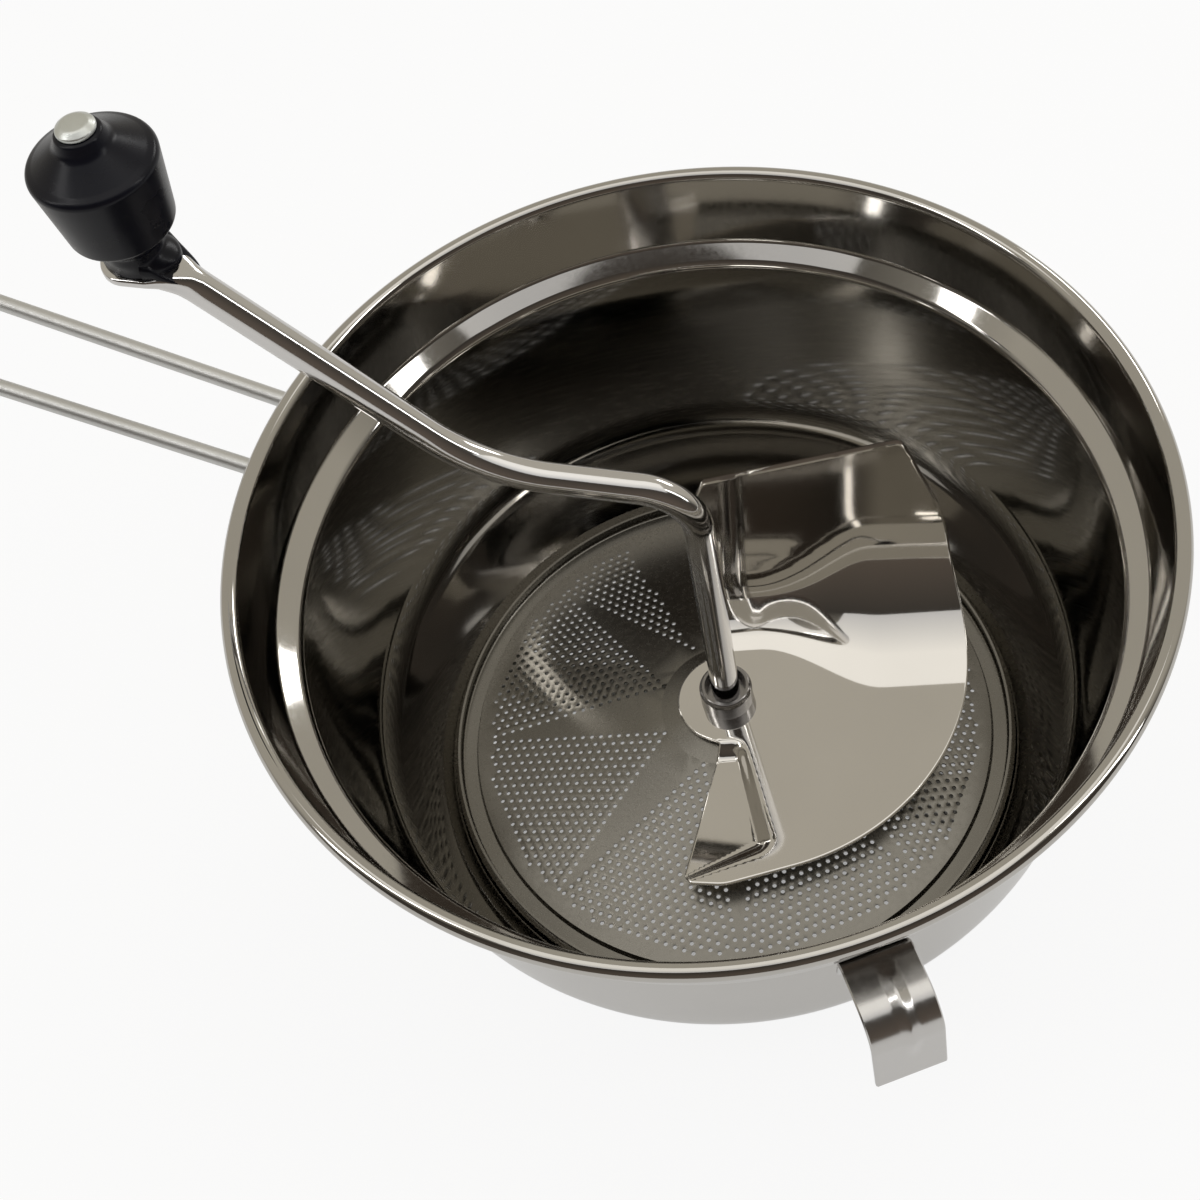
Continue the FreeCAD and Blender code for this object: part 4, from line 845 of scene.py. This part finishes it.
# ---------------------------------------------------------------- stage
FLOOR_SIZE = 4.0
# Painted shadow under the bowl's foot: inside these radii the floor's white glow for camera rays
# falls from GLOW_AROUND to GLOW_UNDER_FOOT, so the sieve's holes show a dark floor.
FOOT_SHADE_START, FOOT_SHADE_END = 0.064, 0.071
GLOW_UNDER_FOOT, GLOW_AROUND, GLOW_MIRRORED = 0.34, 0.90, 0.45


def make_floor():
    """Pale floor, with a painted shadow that makes it darker under the bowl's foot than around it.
    """
    mesh = bpy.data.meshes.new("floor")
    corners = [(-1, -1), (1, -1), (1, 1), (-1, 1)]
    mesh.from_pydata([(FLOOR_SIZE * x, FLOOR_SIZE * y, 0) for x, y in corners],
                     [], [(0, 1, 2, 3)])
    floor = bpy.data.objects.new("floor", mesh)
    bpy.context.scene.collection.objects.link(floor)
    material = bpy.data.materials.new("pale_floor")
    material.use_nodes = True
    tree = material.node_tree
    tree.nodes.clear()
    place = node(tree, "ShaderNodeTexCoord", (-1200, 400))
    reach = node(tree, "ShaderNodeVectorMath", (-1000, 400), operation="LENGTH")
    tree.links.new(place.outputs["Object"], reach.inputs[0])
    painted_foot_shadow = node(tree, "ShaderNodeMapRange", (-800, 400))
    painted_foot_shadow.inputs["From Min"].default_value = FOOT_SHADE_START
    painted_foot_shadow.inputs["From Max"].default_value = FOOT_SHADE_END
    painted_foot_shadow.inputs["To Min"].default_value = GLOW_UNDER_FOOT
    painted_foot_shadow.inputs["To Max"].default_value = GLOW_AROUND
    tree.links.new(reach.outputs["Value"], painted_foot_shadow.inputs["Value"])
    path = node(tree, "ShaderNodeLightPath", (-800, 100))
    direct = node(tree, "ShaderNodeMath", (-600, 300), operation="MULTIPLY")
    tree.links.new(path.outputs["Is Camera Ray"], direct.inputs[0])
    tree.links.new(painted_foot_shadow.outputs["Result"], direct.inputs[1])
    share = node(tree, "ShaderNodeMath", (-400, 200), operation="MULTIPLY_ADD")
    share.inputs[1].default_value = GLOW_MIRRORED
    tree.links.new(path.outputs["Is Glossy Ray"], share.inputs[0])
    tree.links.new(direct.outputs[0], share.inputs[2])
    matt = node(tree, "ShaderNodeBsdfDiffuse", (-200, 0))
    matt.inputs["Color"].default_value = (0.9, 0.9, 0.9, 1)
    glow = node(tree, "ShaderNodeEmission", (-200, -200))
    glow.inputs["Color"].default_value = (1, 1, 1, 1)
    mix = node(tree, "ShaderNodeMixShader", (0, 0))
    tree.links.new(share.outputs[0], mix.inputs["Fac"])
    tree.links.new(matt.outputs[0], mix.inputs[1])
    tree.links.new(glow.outputs[0], mix.inputs[2])
    out = node(tree, "ShaderNodeOutputMaterial", (200, 0))
    tree.links.new(mix.outputs[0], out.inputs["Surface"])
    mesh.materials.append(material)


PALE_SIDE = (-0.485, 0.875, 0.25)
DARK_SKY = (0.13, 0.105, 0.085, 1)
DARKEST_SKY = (0.058, 0.052, 0.045, 1)
PALE_SKY = (0.56, 0.525, 0.45, 1)


def make_world():
    """Warm pale side behind the bowl, dark side towards the camera; white to the camera."""
    world = bpy.data.worlds.new("studio")
    bpy.context.scene.world = world
    world.use_nodes = True
    tree = world.node_tree
    tree.nodes.clear()
    place = node(tree, "ShaderNodeTexCoord", (-1200, 0))
    facing = node(tree, "ShaderNodeVectorMath", (-1000, 0), operation="DOT_PRODUCT")
    facing.inputs[1].default_value = PALE_SIDE
    tree.links.new(place.outputs["Generated"], facing.inputs[0])
    ramp = node(tree, "ShaderNodeValToRGB", (-700, 0))
    stops = ramp.color_ramp.elements
    stops[0].position, stops[0].color = 0.05, DARK_SKY
    stops[1].position, stops[1].color = 0.62, PALE_SKY
    middle = stops.new(0.40)
    middle.color = DARKEST_SKY
    half = node(tree, "ShaderNodeMath", (-850, 0), operation="MULTIPLY_ADD")
    half.inputs[1].default_value, half.inputs[2].default_value = 0.5, 0.5
    tree.links.new(facing.outputs["Value"], half.inputs[0])
    tree.links.new(half.outputs[0], ramp.inputs["Fac"])
    path = node(tree, "ShaderNodeLightPath", (-600, 300))
    mix = node(tree, "ShaderNodeMix", (-200, 0), data_type="RGBA")
    mix.inputs["B"].default_value = (1, 1, 1, 1)
    tree.links.new(path.outputs["Is Camera Ray"], mix.inputs["Factor"])
    tree.links.new(ramp.outputs["Color"], mix.inputs["A"])
    back = node(tree, "ShaderNodeBackground", (0, 0))
    tree.links.new(mix.outputs["Result"], back.inputs["Color"])
    out = node(tree, "ShaderNodeOutputWorld", (200, 0))
    tree.links.new(back.outputs[0], out.inputs["Surface"])


LAMP_DISTANCE, LAMP_TARGET = 1.6, Vector((0, 0, 0.05))
LAMPS = (  # name, azimuth, elevation, size, power
    ("ceiling", -61, 87.5, (1.8, 1.40), 5.8),
    ("side_right", 15, 40, (0.14, 1.1), 3.0),
    ("side_left", 215, 45, (0.14, 1.1), 3.0),
    ("behind", 80, 28, (0.5, 0.25), 3.0),
)


def softbox(name, azimuth, elevation, size, power):
    """Rectangular lamp that faces the bowl."""
    lamp = bpy.data.lights.new(name, "AREA")
    lamp.shape = "RECTANGLE"
    lamp.size, lamp.size_y = size
    lamp.energy = power
    thing = bpy.data.objects.new(name, lamp)
    a, e = math.radians(azimuth), math.radians(elevation)
    away = Vector((math.cos(a) * math.cos(e), math.sin(a) * math.cos(e), math.sin(e)))
    thing.location = LAMP_TARGET + away * LAMP_DISTANCE
    thing.rotation_mode = "QUATERNION"
    thing.rotation_quaternion = away.to_track_quat("Z", "Y")
    bpy.context.scene.collection.objects.link(thing)


make_floor()
make_world()
for lamp_values in LAMPS:
    softbox(*lamp_values)


# ---------------------------------------------------------------- camera
SENSOR_WIDTH, LENS, SHIFT_X, SHIFT_Y = 36.0, 57.0, -0.0833, -0.025
CAMERA_PLACE = Vector((0.11479, -0.20708, 0.44564))
CAMERA_RIGHT = Vector((0.92884, 0.35827, -0.09437))
CAMERA_UP = Vector((-0.25318, 0.79976, 0.54431))


def make_camera():
    """Camera above the bowl's front, with its picture shifted to the side of the handle."""
    camera = bpy.data.objects.new("camera", bpy.data.cameras.new("camera"))
    bpy.context.scene.collection.objects.link(camera)
    camera.data.sensor_width = SENSOR_WIDTH
    camera.data.lens = LENS
    camera.data.shift_x, camera.data.shift_y = SHIFT_X, SHIFT_Y
    camera.data.clip_start, camera.data.clip_end = 0.01, 20
    right = CAMERA_RIGHT.normalized()
    up = (CAMERA_UP - right * CAMERA_UP.dot(right)).normalized()
    place = Matrix((right, up, right.cross(up))).transposed().to_4x4()
    place.translation = CAMERA_PLACE
    camera.matrix_world = place
    bpy.context.scene.camera = camera


make_camera()
bpy.context.scene.view_settings.view_transform = "Standard"
